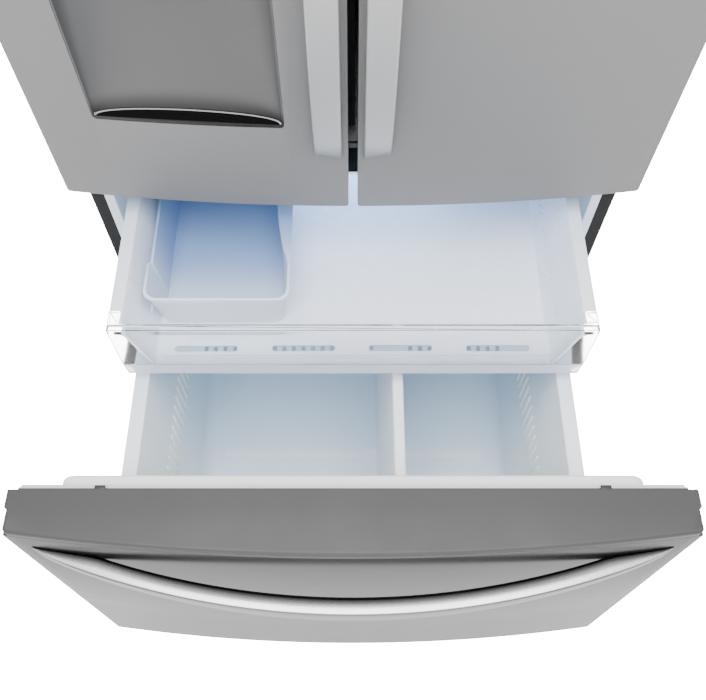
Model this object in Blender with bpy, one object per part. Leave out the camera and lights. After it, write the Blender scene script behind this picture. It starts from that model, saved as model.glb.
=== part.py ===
"""French door refrigerator with a bottom freezer drawer, shown with the drawer pulled out.

Metres, +Z up, the front faces -Y. The origin is on the floor, midway between the drawer
handle of the open drawer and the back of the cabinet, on the centre line.
"""
from math import cos, pi, radians, sin, sqrt

import bmesh
import bpy
from mathutils import Matrix, Vector

# Driving dimensions
WIDTH = 0.908
CASE_TOP = 1.745
CASE_DEPTH = 0.750
CASE_BASE = 0.030
COVER_TOP = 1.785
DOOR_THICK = 0.0585
SEAL_THICK = 0.0103
DRAWER_OUT = 0.5522
BOW = 0.0305
HANDLE_OUT = 0.0625
FIT = 0.0003
SKIN = 0.003
SHEET = 0.0025
LINER = 0.006

HALF = WIDTH / 2
BACK = (CASE_DEPTH + SEAL_THICK + DOOR_THICK + DRAWER_OUT + BOW + HANDLE_OUT) / 2
FACE = BACK - CASE_DEPTH
DOOR_BACK = FACE - SEAL_THICK
DOOR_FRONT = DOOR_BACK - DOOR_THICK
FRONT_RADIUS = (HALF ** 2 + BOW ** 2) / (2 * BOW)

# Doors and drawer front
DOOR_LOW = 0.7223
DOOR_HIGH = 1.742
DOOR_GAP = 0.0142
DRAWER_LOW = 0.090
DRAWER_HIGH = 0.7145
HINGE_X = 0.434
HINGE_Y = DOOR_FRONT + 0.025
PIN = 0.006
PIN_CLEARANCE = 0.001

DYKE_X0 = 0.058
DYKE_LOW = 0.770
DYKE_HIGH = 1.688
DYKE_BACK = DOOR_BACK + 0.028
PLUG_DEPTH = 0.036
PLUG_LOW = 0.137
PLUG_HIGH = 0.675
DRAWER_BACK = DOOR_BACK - DRAWER_OUT
DRAWER_PLUG_BACK = DRAWER_BACK + PLUG_DEPTH
FLAP_X0 = -0.045
FLAP_X1 = 0.003
FLAP_LOW = 0.795
FLAP_HIGH = 1.660
FLAP_THICK = 0.015

# Handles
HANDLE_X0 = 0.016
HANDLE_X1 = 0.055
HANDLE_LOW = 0.830
HANDLE_HIGH = 1.620
DRAWER_HANDLE_X = 0.4295
DRAWER_HANDLE_TOP = DRAWER_HIGH - 0.054
DRAWER_HANDLE_HEIGHT = 0.036
DRAWER_HANDLE_DEPTH = 0.030

# Cabinet openings
FLANGE = 0.0225
INNER_X = 0.4145
PLUG_X = 0.404
FRIDGE_FLOOR = 0.757
FRIDGE_CEILING = 1.700
FREEZER_FLOOR = 0.125
FREEZER_CEILING = 0.681
RAIL_LOW = 0.688
RAIL_HIGH = 0.745
LINER_BACK = BACK - 0.065
MACHINE_FRONT = FACE + 0.500
MACHINE_TOP = 0.262
STEP_FLOOR = 0.275
GASKET_WIDTH = 0.014

LEDGE_X = 0.3565
CRISPER_X0 = 0.012
CRISPER_X1 = 0.345
CRISPER_FRONT = FACE + 0.100
CRISPER_LENGTH = 0.440

# Machine compartment and running gear
ROLLER_X = 0.380
ROLLER_Y = BACK - 0.110
ROLLER_RADIUS = 0.021
FAN_CENTRE = (0.040, BACK - 0.150, 0.150)
INLET_X = 0.345
INLET_Z = 0.170

# Freezer slides
SLIDE_Z = 0.2475
SLIDE_LENGTH = 0.445

# Pull-out tray and bins, at rest
TRAY_FRONT = FACE - 0.2996
TRAY_LENGTH = 0.456
TRAY_RIM = 0.675
TRAY_FLOOR = 0.585
TRAY_RIM_X = 0.373
BIN_RIM = 0.5535
BIN_FLOOR = 0.200
ICE_X0 = -0.326
ICE_X1 = -0.099

# Dispenser in the left door
WELL_X0 = -0.3665
WELL_X1 = -0.0955
WELL_LOW = 0.891
WELL_TOP = 1.240
PANEL_TOP = 1.420
PADDLE_Y = DOOR_FRONT + 0.012
PADDLE_Z = 1.222

STEEL = (0.36, 0.37, 0.385)
DARK_STEEL = (0.20, 0.205, 0.215)
ZINC = (0.55, 0.56, 0.58)
WHITE = (0.86, 0.88, 0.90)
PALE = (0.72, 0.80, 0.88)
CLEAR = (0.80, 0.88, 0.93)
GREY = (0.33, 0.34, 0.35)
DARK = (0.05, 0.05, 0.055)


# Shapes

def clear_scene():
    for item in list(bpy.data.objects):
        bpy.data.objects.remove(item, do_unlink=True)


def make(name, bm):
    bmesh.ops.recalc_face_normals(bm, faces=bm.faces)
    mesh = bpy.data.meshes.new(name)
    bm.to_mesh(mesh)
    bm.free()
    item = bpy.data.objects.new(name, mesh)
    bpy.context.collection.objects.link(item)
    return item


def loft(name, rings):
    """A closed body through rings of points, with a flat face on the first and the last."""
    bm = bmesh.new()
    loops = [[bm.verts.new(point) for point in ring] for ring in rings]
    count = len(loops[0])
    for low, high in zip(loops, loops[1:]):
        for i in range(count):
            j = (i + 1) % count
            bm.faces.new((low[i], low[j], high[j], high[i]))
    bm.faces.new(loops[0])
    bm.faces.new(list(reversed(loops[-1])))
    return make(name, bm)


def place(a, b, c, axis):
    """The point at (a, b) in the plane square to an axis, at c along it."""
    return {"X": (c, a, b), "Y": (a, c, b), "Z": (a, b, c)}[axis]


def prism(name, outline, axis, low, high):
    return loft(name, [[place(a, b, c, axis) for a, b in outline] for c in (low, high)])


def box(name, low, high):
    return prism(name, rectangle(low[0], high[0], low[1], high[1]), "Z", low[2], high[2])


def sided(side, x0, x1):
    """The same stretch of X on the left (side -1) or the right (side 1), low end first."""
    return sorted((side * x0, side * x1))


def side_box(name, side, x, y, z):
    x0, x1 = sided(side, *x)
    return box(name, (x0, y[0], z[0]), (x1, y[1], z[1]))


def rectangle(a0, a1, b0, b1):
    return [(a0, b0), (a1, b0), (a1, b1), (a0, b1)]


def rounded(a0, a1, b0, b1, radius, steps=3):
    centres = [(a1 - radius, b1 - radius, 0), (a0 + radius, b1 - radius, 90),
               (a0 + radius, b0 + radius, 180), (a1 - radius, b0 + radius, 270)]
    points = []
    for a, b, start in centres:
        for i in range(steps + 1):
            turn = radians(start + 90 * i / steps)
            points.append((a + radius * cos(turn), b + radius * sin(turn)))
    return points


def turned(name, profile, centre, axis, steps=20):
    """A body turned about an axis through centre, from (radius, height) pairs."""
    rings = []
    for radius, height in profile:
        ring = []
        for i in range(steps):
            turn = 2 * pi * i / steps
            ring.append(Vector(place(radius * cos(turn), radius * sin(turn), height, axis))
                        + Vector(centre))
        rings.append(ring)
    return loft(name, rings)


def tub(name, levels, steps=3):
    """An open container: (x0, x1, y0, y1, z, corner radius) from the outer base, over the
    rim, down to the inner floor."""
    return loft(name, [[(x, y, z) for x, y in rounded(x0, x1, y0, y1, radius, steps)]
                       for x0, x1, y0, y1, z, radius in levels])


def bow(x):
    """How far the bowed front stands ahead of the outer corners at x."""
    return sqrt(FRONT_RADIUS ** 2 - x ** 2) - sqrt(FRONT_RADIUS ** 2 - HALF ** 2)


def bowed(x0, x1, front, back, steps=12):
    """A plan outline with a flat back and the bowed front, front given at the corners."""
    points = [(x0, back), (x1, back)]
    for i in range(steps + 1):
        x = x1 + (x0 - x1) * i / steps
        points.append((x, front - bow(x)))
    return points


def apply_tool(item, tool, operation):
    change = item.modifiers.new(tool.name, "BOOLEAN")
    change.operation = operation
    change.object = tool
    tool.hide_render = True
    tool.display_type = "WIRE"


def cut(item, *tools):
    for tool in tools:
        apply_tool(item, tool, "DIFFERENCE")
    return item


def fuse(item, *tools):
    for tool in tools:
        apply_tool(item, tool, "UNION")
    return item


def soften(item, width, segments=2, limit=50):
    change = item.modifiers.new("soften", "BEVEL")
    change.width = width
    change.segments = segments
    change.limit_method = "ANGLE"
    change.angle_limit = radians(limit)
    return item


def smooth(item, limit=35):
    item.data.polygons.foreach_set("use_smooth", [True] * len(item.data.polygons))
    item.data.set_sharp_from_angle(angle=radians(limit))
    return item


def finish(items, colour, roughness, metallic=0.0):
    """Gives each object its own material."""
    for item in items:
        material = bpy.data.materials.new(item.name)
        material.use_nodes = True
        shader = material.node_tree.nodes["Principled BSDF"]
        shader.inputs["Base Color"].default_value = (*colour, 1)
        shader.inputs["Roughness"].default_value = roughness
        shader.inputs["Metallic"].default_value = metallic
        item.data.materials.append(material)


def hang(joint, origin, items):
    """Parents the pieces of a moving body to an empty on its joint's axis."""
    pivot = bpy.data.objects.new(joint, None)
    pivot.location = origin
    bpy.context.collection.objects.link(pivot)
    for item in items:
        item.data.transform(Matrix.Translation(-Vector(origin)))
        item.parent = pivot


# Cabinet

def cabinet_case():
    case = box("cabinet_case", (-HALF, FACE, CASE_BASE), (HALF, BACK - SHEET - FIT, CASE_TOP))
    inside = box("case_inside", (-HALF + SHEET, FACE + SHEET, 0), (HALF - SHEET, 1, CASE_TOP - SHEET))
    mouth = box("case_mouth", (-HALF + FLANGE, -1, 0), (HALF - FLANGE, 1, CASE_TOP - FLANGE))
    cut(case, inside, mouth)
    finish([case], DARK_STEEL, 0.45, 0.6)


def rear_panel():
    panel = box("rear_panel", (-HALF + FIT, BACK - SHEET, MACHINE_TOP + FIT),
                (HALF - FIT, BACK, CASE_TOP - FIT))
    finish([panel], ZINC, 0.4, 0.8)


def base_pan():
    inner = HALF - SHEET - FIT
    front = FACE + SHEET + FIT
    pan = box("base_pan", (-inner, front, CASE_BASE), (inner, BACK - SHEET - FIT, CASE_BASE + 0.004))
    upstand = box("pan_upstand", (-inner, front, CASE_BASE + 0.001),
                  (inner, front + SKIN, FREEZER_FLOOR - LINER - 0.024))
    fuse(pan, upstand)
    for side in (-1, 1):
        for offset in (-0.021, 0.021):
            x = side * ROLLER_X + offset
            fuse(pan, box("roller_ear", (x - 0.002, ROLLER_Y - 0.011, 0.009),
                          (x + 0.002, ROLLER_Y + 0.011, CASE_BASE + 0.002)))
        cut(pan, box("roller_slot", (side * ROLLER_X - 0.0175, ROLLER_Y - 0.030, 0),
                     (side * ROLLER_X + 0.0175, ROLLER_Y + 0.030, 0.1)))
        cut(pan, turned("axle_bore", [(0.0048, -0.03), (0.0048, 0.03)],
                        (side * ROLLER_X, ROLLER_Y, ROLLER_RADIUS), "X", 12))
    finish([pan], ZINC, 0.45, 0.8)


def rear_rollers():
    profile = [(0.004, -0.026), (0.004, -0.015), (ROLLER_RADIUS - 0.002, -0.015),
               (ROLLER_RADIUS, -0.012), (ROLLER_RADIUS, 0.012),
               (ROLLER_RADIUS - 0.002, 0.015), (0.004, 0.015), (0.004, 0.026)]
    for side, word in ((-1, "left"), (1, "right")):
        centre = (side * ROLLER_X, ROLLER_Y, ROLLER_RADIUS)
        roller = smooth(turned(f"rear_roller_{word}", profile, centre, "X", 24))
        finish([roller], DARK, 0.6)
        hang(f"rear_roller_{word}_axle", centre, [roller])


def front_feet():
    profile = [(0.018, 0), (0.021, 0.003), (0.021, 0.009), (0.009, 0.012),
               (0.009, CASE_BASE - FIT)]
    for side, word in ((-1, "left"), (1, "right")):
        foot = smooth(turned(f"front_foot_{word}", profile, (side * 0.365, FACE + 0.055, 0), "Z"))
        finish([foot], DARK, 0.55)


def toe_grille():
    grille = box("toe_grille", (-0.440, FACE - 0.016, 0.012), (0.440, FACE - FIT, 0.082))
    hollow = box("grille_hollow", (-0.437, FACE - 0.013, 0), (0.437, FACE + 0.1, 0.079))
    cut(grille, hollow)
    for i in range(3):
        z = 0.026 + 0.017 * i
        cut(grille, box("grille_slot", (-0.410, FACE - 0.1, z), (0.410, FACE - 0.005, z + 0.008)))
    finish([grille], GREY, 0.55)


def centre_rail():
    rail = box("centre_rail", (-HALF + FLANGE + FIT, FACE, RAIL_LOW),
               (HALF - FLANGE - FIT, FACE + 0.024, RAIL_HIGH))
    finish([rail], DARK_STEEL, 0.4, 0.6)


def fridge_liner():
    flange = HALF - FLANGE - FIT
    low = RAIL_HIGH + FIT
    high = CASE_TOP - FLANGE - FIT
    liner = box("fridge_liner", (-INNER_X - LINER, FACE + 0.001, FRIDGE_FLOOR - LINER),
                (INNER_X + LINER, LINER_BACK + LINER, FRIDGE_CEILING + LINER))
    fuse(liner, box("fridge_flange", (-flange, FACE, low), (flange, FACE + 0.004, high)))
    cut(liner, box("fridge_hollow", (-INNER_X, -1, FRIDGE_FLOOR),
                   (INNER_X, LINER_BACK, FRIDGE_CEILING)))
    finish([liner], WHITE, 0.35)


def stepped(low, high, step, rise, front, back):
    """A side outline whose floor steps up over the machine compartment."""
    return [(front, low), (step, low), (step, rise), (back, rise), (back, high), (front, high)]


def freezer_liner():
    flange = HALF - FLANGE - FIT
    step = MACHINE_FRONT - 0.012
    liner = prism("freezer_liner",
                  stepped(FREEZER_FLOOR - LINER, FREEZER_CEILING + LINER, step,
                          STEP_FLOOR - LINER, FACE + 0.001, LINER_BACK + LINER),
                  "X", -INNER_X - LINER, INNER_X + LINER)
    fuse(liner, box("freezer_flange", (-flange, FACE, FREEZER_FLOOR - LINER - 0.0237),
                    (flange, FACE + 0.004, RAIL_LOW - FIT)))
    cut(liner, prism("freezer_hollow",
                     stepped(FREEZER_FLOOR, FREEZER_CEILING, step - LINER, STEP_FLOOR, -1,
                             LINER_BACK), "X", -INNER_X, INNER_X))
    for side in (-1, 1):
        fuse(liner, side_box("tray_ledge", side, (LEDGE_X, INNER_X + 0.002),
                             (FACE + 0.084, LINER_BACK + 0.001), (0.652, TRAY_RIM - 0.0065)))
    finish([liner], WHITE, 0.35)


def fridge_duct_panel():
    panel = box("fridge_duct_panel", (-0.110, LINER_BACK - 0.024, 1.020),
                (0.110, LINER_BACK - FIT, 1.640))
    for i in range(5):
        z = 1.080 + 0.105 * i
        cut(panel, box("duct_slot", (-0.080, LINER_BACK - 0.1, z),
                       (0.080, LINER_BACK - 0.006, z + 0.014)))
    finish([soften(panel, 0.004, 2)], WHITE, 0.4)


def freezer_duct_panel():
    panel = box("freezer_duct_panel", (-0.330, LINER_BACK - 0.030, STEP_FLOOR + FIT),
                (0.330, LINER_BACK - FIT, FREEZER_CEILING - 0.040))
    for i in range(4):
        z = 0.430 + 0.045 * i
        cut(panel, box("duct_slot", (-0.150, LINER_BACK - 0.1, z),
                       (0.150, LINER_BACK - 0.006, z + 0.012)))
    finish([soften(panel, 0.004, 2)], WHITE, 0.4)


def glass_shelves():
    """The upper shelf and the glass that roofs the crispers, each with a front trim."""
    for name, z, front, half in (("glass_shelf", 1.345, FACE + 0.140, 0.409),
                                 ("crisper_shelf", 0.998, FACE + 0.095, 0.411)):
        shelf = box(name, (-half, front + 0.006, z), (half, LINER_BACK - 0.030, z + 0.005))
        trim = box(name + "_trim", (-half, front, z - 0.006), (half, front + 0.014, z + 0.009))
        fuse(shelf, trim)
        finish([shelf], CLEAR, 0.1)


def crispers():
    z0 = FRIDGE_FLOOR + 0.012
    rim = 0.985
    wall = 0.004
    y0 = CRISPER_FRONT
    y1 = CRISPER_FRONT + CRISPER_LENGTH
    for side, word in ((-1, "left"), (1, "right")):
        levels = []
        for inset, z, radius in ((0.010, z0, 0.012), (0.006, rim - 0.014, 0.014),
                                 (0, rim - 0.012, 0.012), (0, rim, 0.012),
                                 (0.006 + wall, rim, 0.010), (0.010 + wall, z0 + wall, 0.010)):
            x0, x1 = sided(side, CRISPER_X0 + inset, CRISPER_X1 - inset)
            levels.append((x0, x1, y0 + inset, y1 - inset, z, radius))
        crisper = tub(f"crisper_{word}", levels)
        finish([crisper], CLEAR, 0.15)
        hang(f"crisper_{word}_runner", (side * (CRISPER_X0 + CRISPER_X1) / 2, y0, z0), [crisper])


# Machine compartment

def compressor():
    profile = [(0.060, 0.036), (0.086, 0.050), (0.092, 0.085), (0.092, 0.150), (0.080, 0.190),
               (0.052, 0.212), (0.018, 0.220)]
    shell = smooth(turned("compressor", profile, (-0.210, BACK - 0.125, 0.002), "Z", 24), 60)
    foot = box("compressor_foot", (-0.320, BACK - 0.165, CASE_BASE + 0.0043),
               (-0.100, BACK - 0.085, 0.045))
    fuse(shell, foot)
    finish([shell], DARK, 0.4)


def condenser_coil():
    """A serpentine tube, one row deep."""
    path = []
    turns = 8
    pitch = 0.022
    for i in range(turns):
        x = 0.190 + pitch * i
        ends = (0.060, 0.225) if i % 2 == 0 else (0.225, 0.060)
        path += [(x, BACK - 0.215, z) for z in ends]
    curve = bpy.data.curves.new("condenser_coil", "CURVE")
    curve.dimensions = "3D"
    curve.bevel_depth = 0.004
    curve.bevel_resolution = 1
    curve.use_fill_caps = True
    spline = curve.splines.new("POLY")
    spline.points.add(len(path) - 1)
    for point, place_at in zip(spline.points, path):
        point.co = (*place_at, 1)
    coil = bpy.data.objects.new("condenser_coil", curve)
    bpy.context.collection.objects.link(coil)
    finish([coil], DARK, 0.4)


def condenser_fan():
    hub = turned("condenser_fan", [(0.012, -0.014), (0.018, -0.010), (0.018, 0.012), (0.010, 0.014)],
                 FAN_CENTRE, "Y", 16)
    for i in range(5):
        blade = box("fan_blade", (-0.018, -0.0015, 0.012), (0.018, 0.0015, 0.070))
        turn = Matrix.Rotation(2 * pi * i / 5, 4, "Y") @ Matrix.Rotation(radians(28), 4, "Z")
        blade.data.transform(Matrix.Translation(FAN_CENTRE) @ turn)
        fuse(hub, blade)
    finish([hub], GREY, 0.5)
    hang("condenser_fan_shaft", FAN_CENTRE, [hub])


def machine_cover():
    half = HALF - SHEET - FIT
    cover = box("machine_cover", (-half, BACK - 0.004, CASE_BASE + 0.0043),
                (half, BACK, MACHINE_TOP - FIT))
    for column in (-0.300, -0.060, 0.180):
        for i in range(6):
            z = 0.075 + 0.024 * i
            cut(cover, box("cover_slot", (column - 0.080, BACK - 0.1, z),
                           (column + 0.080, BACK + 0.1, z + 0.010)))
    cut(cover, box("inlet_hole", (INLET_X - 0.0165, BACK - 0.1, INLET_Z - 0.0125),
                   (INLET_X + 0.0165, BACK + 0.1, INLET_Z + 0.0125)))
    finish([cover], GREY, 0.6)


def power_inlet():
    inlet = box("power_inlet", (INLET_X - 0.0162, BACK - 0.028, INLET_Z - 0.0122),
                (INLET_X + 0.0162, BACK - FIT, INLET_Z + 0.0122))
    socket = box("inlet_socket", (INLET_X - 0.0122, BACK - 0.018, INLET_Z - 0.008),
                 (INLET_X + 0.0122, BACK + 0.1, INLET_Z + 0.008))
    cut(inlet, socket)
    finish([inlet], DARK, 0.5)


# Hinges

def hinges():
    for side, word in ((-1, "left"), (1, "right")):
        pin_at = (side * HINGE_X, HINGE_Y, 0)
        z = CASE_TOP + FIT
        top = side_box(f"top_hinge_{word}", side, (0.405, 0.447), (HINGE_Y - 0.014, FACE + 0.090),
                       (z, z + 0.004))
        fuse(top, turned("top_pin", [(PIN, z - 0.018), (PIN, z + 0.002)], pin_at, "Z", 16))
        cover = side_box(f"hinge_cover_{word}", side, (0.396, HALF - 0.001),
                         (HINGE_Y - 0.022, FACE + 0.115), (z, COVER_TOP))
        soften(cover, 0.006, 2)
        cut(cover, side_box("cover_hollow", side, (0.400, HALF - 0.005),
                            (HINGE_Y - 0.018, FACE + 0.111), (0, COVER_TOP - 0.004)))
        middle = side_box(f"middle_hinge_{word}", side, (0.405, 0.450),
                          (HINGE_Y - 0.014, FACE - 0.001), (0.7165, 0.7200))
        fuse(middle,
             side_box("hinge_leg", side, (0.392, 0.450), (FACE - 0.0045, FACE - FIT), (0.7080, 0.7290)),
             turned("middle_pin", [(PIN, 0.7175), (PIN, 0.735)], pin_at, "Z", 16))
        finish([top, middle], ZINC, 0.35, 0.9)
        finish([cover], GREY, 0.5)


# Doors

def pan(name, x0, x1, z0, z1, shift):
    """A hollow steel front, open at the back, moved forward by shift."""
    front = DOOR_FRONT - shift
    back = DOOR_BACK - shift
    shell = prism(name, bowed(x0, x1, front, back), "Z", z0, z1)
    soften(shell, 0.005, 2)
    hollow = prism(name + "_hollow", bowed(x0 + SKIN, x1 - SKIN, front + SKIN, back + 0.05), "Z",
                   z0 + SKIN, z1 - SKIN)
    return cut(shell, hollow)


def seal(name, x0, x1, z0, z1, y0):
    """A ring of gasket behind a front whose back is at y0."""
    ring = box(name, (x0, y0 + FIT, z0), (x1, y0 + SEAL_THICK - FIT, z1))
    w = GASKET_WIDTH
    cut(ring, box(name + "_mouth", (x0 + w, y0 - 1, z0 + w), (x1 - w, y0 + 1, z1 - w)))
    finish([ring], GREY, 0.7)
    return ring


def door(side, word):
    """One door: shell, liner with its raised dyke, gasket and bowed handle."""
    x0, x1 = sided(side, DOOR_GAP / 2, HALF)
    shell = pan(f"{word}_door_shell", x0, x1, DOOR_LOW, DOOR_HIGH, 0)
    hole = PIN + PIN_CLEARANCE
    for z in (DOOR_LOW, DOOR_HIGH):
        cut(shell, turned("pin_hole", [(hole, z - 0.02), (hole, z + 0.02)],
                          (side * HINGE_X, HINGE_Y, 0), "Z", 16))
    lip = SKIN + FIT
    liner = box(f"{word}_door_liner", (x0 + lip, DOOR_BACK - 0.004, DOOR_LOW + lip),
                (x1 - lip, DOOR_BACK, DOOR_HIGH - lip))
    d0, d1 = sided(side, DYKE_X0, PLUG_X)
    fuse(liner, box("dyke", (d0, DOOR_BACK - 0.003, DYKE_LOW), (d1, DYKE_BACK, DYKE_HIGH)))
    w = 0.026
    cut(liner, box("dyke_hollow", (d0 + w, DOOR_BACK + 0.001, DYKE_LOW + w),
                   (d1 - w, DOOR_BACK + 1, DYKE_HIGH - w)))
    g0, g1 = sided(side, DOOR_GAP / 2 + 0.008, HINGE_X)
    gasket = seal(f"{word}_door_gasket", g0, g1, DOOR_LOW + 0.008, DOOR_HIGH - 0.008, DOOR_BACK)
    handle = door_handle(side, word)
    finish([shell], STEEL, 0.32, 0.85)
    finish([liner], WHITE, 0.35)
    finish([handle], ZINC, 0.25, 0.95)
    return [shell, liner, gasket, handle]


def arched(length, rise, thickness, steps=14):
    """A bar's side outline: flat feet at both ends of a shallow arch, from 0 to length."""
    outer = []
    inner = []
    for i in range(steps + 1):
        t = i / steps
        lift = sin(pi * t) ** 0.62
        outer.append((length * t, rise * lift))
        inner.append((length * (0.045 + 0.91 * t), max(0, rise * lift - thickness)))
    inner[0] = (length * 0.045, 0)
    inner[-1] = (length * 0.955, 0)
    return outer + list(reversed(inner))


def door_handle(side, word):
    x0, x1 = sided(side, HANDLE_X0, HANDLE_X1)
    surface = DOOR_FRONT - bow(HANDLE_X0) - FIT
    outline = [(surface - rise, HANDLE_LOW + along)
               for along, rise in arched(HANDLE_HIGH - HANDLE_LOW, 0.060, 0.020)]
    handle = prism(f"{word}_door_handle", outline, "X", x0, x1)
    return soften(handle, 0.005, 2, 60)


# Dispenser

def well_ring(z, depth):
    """A plan outline of the dispenser well: straight across the front, curved at the back."""
    middle = (WELL_X0 + WELL_X1) / 2
    half = (WELL_X1 - WELL_X0) / 2 - 0.004
    front = DOOR_FRONT - 0.100
    edge = 0.004
    points = [(middle - half, front, z), (middle + half, front, z)]
    steps = 12
    for i in range(steps + 1):
        turn = pi * i / steps
        x = middle + half * cos(turn)
        points.append((x, DOOR_FRONT - bow(x) + edge + (depth - edge) * sin(turn) ** 0.6, z))
    return points


def dispenser():
    middle = (WELL_X0 + WELL_X1) / 2
    back = DOOR_BACK + 0.0165
    housing = prism("dispenser_housing", bowed(WELL_X0, WELL_X1, DOOR_FRONT, back, 8), "Z",
                    WELL_LOW, PANEL_TOP)
    frame = prism("housing_frame", rounded(WELL_X0 + FIT, WELL_X1 - FIT, WELL_LOW + FIT,
                                           PANEL_TOP - FIT, 0.024, 4), "Y", -1, 1)
    apply_tool(housing, frame, "INTERSECT")
    well = loft("well", [well_ring(WELL_LOW + 0.006, 0.020), well_ring(WELL_LOW + 0.040, 0.030),
                         well_ring(WELL_LOW + 0.160, 0.058), well_ring(WELL_TOP - 0.070, 0.078),
                         well_ring(WELL_TOP, 0.086)])
    cut(housing, well)
    relief = box("housing_relief", (WELL_X0 - 0.01, DOOR_BACK - 0.0045, WELL_LOW - 0.01),
                 (WELL_X1 + 0.01, DOOR_BACK + 0.1, 0.985))
    top_relief = box("housing_top_relief", (WELL_X0 - 0.01, DOOR_BACK - 0.0045, 1.262),
                     (WELL_X1 + 0.01, DOOR_BACK + 0.1, PANEL_TOP + 0.01))
    seat = box("panel_seat", (WELL_X0 + 0.005, -1, WELL_TOP + 0.016),
               (WELL_X1 - 0.005, DOOR_FRONT, PANEL_TOP - 0.022))
    cut(housing, relief, top_relief, seat)
    panel = prism("dispenser_panel", bowed(WELL_X0 + 0.0055, WELL_X1 - 0.0055, DOOR_FRONT + 0.001,
                                           DOOR_FRONT - FIT, 8), "Z",
                  WELL_TOP + 0.0163, PANEL_TOP - 0.0223)
    outline = []
    steps = 12
    for i in range(steps + 1):
        x = middle + 0.1205 * cos(pi * i / steps)
        outline.append((x, DOOR_FRONT - bow(x) + 0.001 + 0.016 * sin(pi * i / steps)))
    for i in range(1, steps):
        x = middle - 0.1205 * cos(pi * i / steps)
        outline.append((x, DOOR_FRONT - bow(x) + 0.001))
    tray = prism("drip_tray", outline, "Z", WELL_LOW + 0.0063, WELL_LOW + 0.0123)
    finish([housing], GREY, 0.45)
    finish([panel], DARK, 0.15)
    finish([tray], DARK, 0.3)
    return [housing, panel, tray]


def dispenser_paddle():
    middle = (WELL_X0 + WELL_X1) / 2
    paddle = prism("dispenser_paddle", rounded(middle - 0.030, middle + 0.030, PADDLE_Z - 0.105,
                                               PADDLE_Z + 0.008, 0.012), "Y",
                   PADDLE_Y - 0.003, PADDLE_Y + 0.003)
    finish([paddle], GREY, 0.35)
    hang("dispenser_paddle_pivot", (middle, PADDLE_Y, PADDLE_Z), [paddle])


def dispenser_spout():
    """The water and ice outlet under the roof of the well."""
    middle = (WELL_X0 + WELL_X1) / 2
    profile = [(0.011, WELL_TOP - 0.030), (0.017, WELL_TOP - 0.027), (0.021, WELL_TOP - FIT)]
    spout = smooth(turned("dispenser_spout", profile, (middle, DOOR_FRONT + 0.040, 0), "Z", 16))
    finish([spout], DARK, 0.3)
    return spout


def ice_room():
    room = box("ice_room", (-PLUG_X + 0.030, DOOR_BACK + 0.0015, 1.300),
               (-DYKE_X0 - 0.030, DOOR_BACK + 0.105, 1.655))
    soften(room, 0.008, 2)
    finish([room], WHITE, 0.4)
    return room


def door_bin(name, side, z0, z1, depth):
    """An open bin hooked on a door's inner side."""
    x0, x1 = sided(side, DYKE_X0 + 0.028, PLUG_X - 0.028)
    y0 = DOOR_BACK + 0.0015
    wall = 0.004
    levels = [(x0 + 0.006, x1 - 0.006, y0, y0 + depth - 0.008, z0, 0.006),
              (x0, x1, y0, y0 + depth, z1, 0.008),
              (x0 + wall, x1 - wall, y0 + wall, y0 + depth - wall, z1, 0.006),
              (x0 + wall + 0.006, x1 - wall - 0.006, y0 + wall, y0 + depth - wall - 0.008,
               z0 + wall, 0.005)]
    item = tub(name, levels)
    finish([item], CLEAR, 0.15)
    return item


def mullion_flap():
    """The folding strip behind the gap between the doors, round at its hinged edge."""
    y = FACE + FIT + FLAP_THICK / 2
    radius = FLAP_THICK / 2
    outline = [(FLAP_X1, y - radius), (FLAP_X1, y + radius)]
    steps = 6
    for i in range(steps + 1):
        turn = pi / 2 + pi * i / steps
        outline.append((FLAP_X0 + radius * cos(turn), y + radius * sin(turn)))
    flap = prism("mullion_flap", outline, "Z", FLAP_LOW, FLAP_HIGH)
    finish([flap], DARK_STEEL, 0.4, 0.3)
    hang("mullion_flap_hinge", (FLAP_X0, y, FLAP_LOW), [flap])


def doors():
    left = door(-1, "left")
    hole = prism("dispenser_hole", rounded(WELL_X0, WELL_X1, WELL_LOW, PANEL_TOP, 0.024, 4), "Y",
                 -1, DOOR_BACK - 0.01)
    cut(left[0], hole)
    cut(left[1], box("liner_hole", (WELL_X0 - 0.001, -1, 0.984), (WELL_X1 + 0.001, 1, 1.263)))
    left += dispenser()
    left += [dispenser_spout(), ice_room()]
    hang("left_door_hinge", (-HINGE_X, HINGE_Y, DOOR_LOW), left)
    right = door(1, "right")
    right.append(door_bin("right_bin_lower", 1, 1.030, 1.150, 0.098))
    right.append(door_bin("right_bin_upper", 1, 1.370, 1.480, 0.098))
    hang("right_door_hinge", (HINGE_X, HINGE_Y, DOOR_LOW), right)
    dispenser_paddle()
    mullion_flap()


# Freezer slides and drawer

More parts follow.
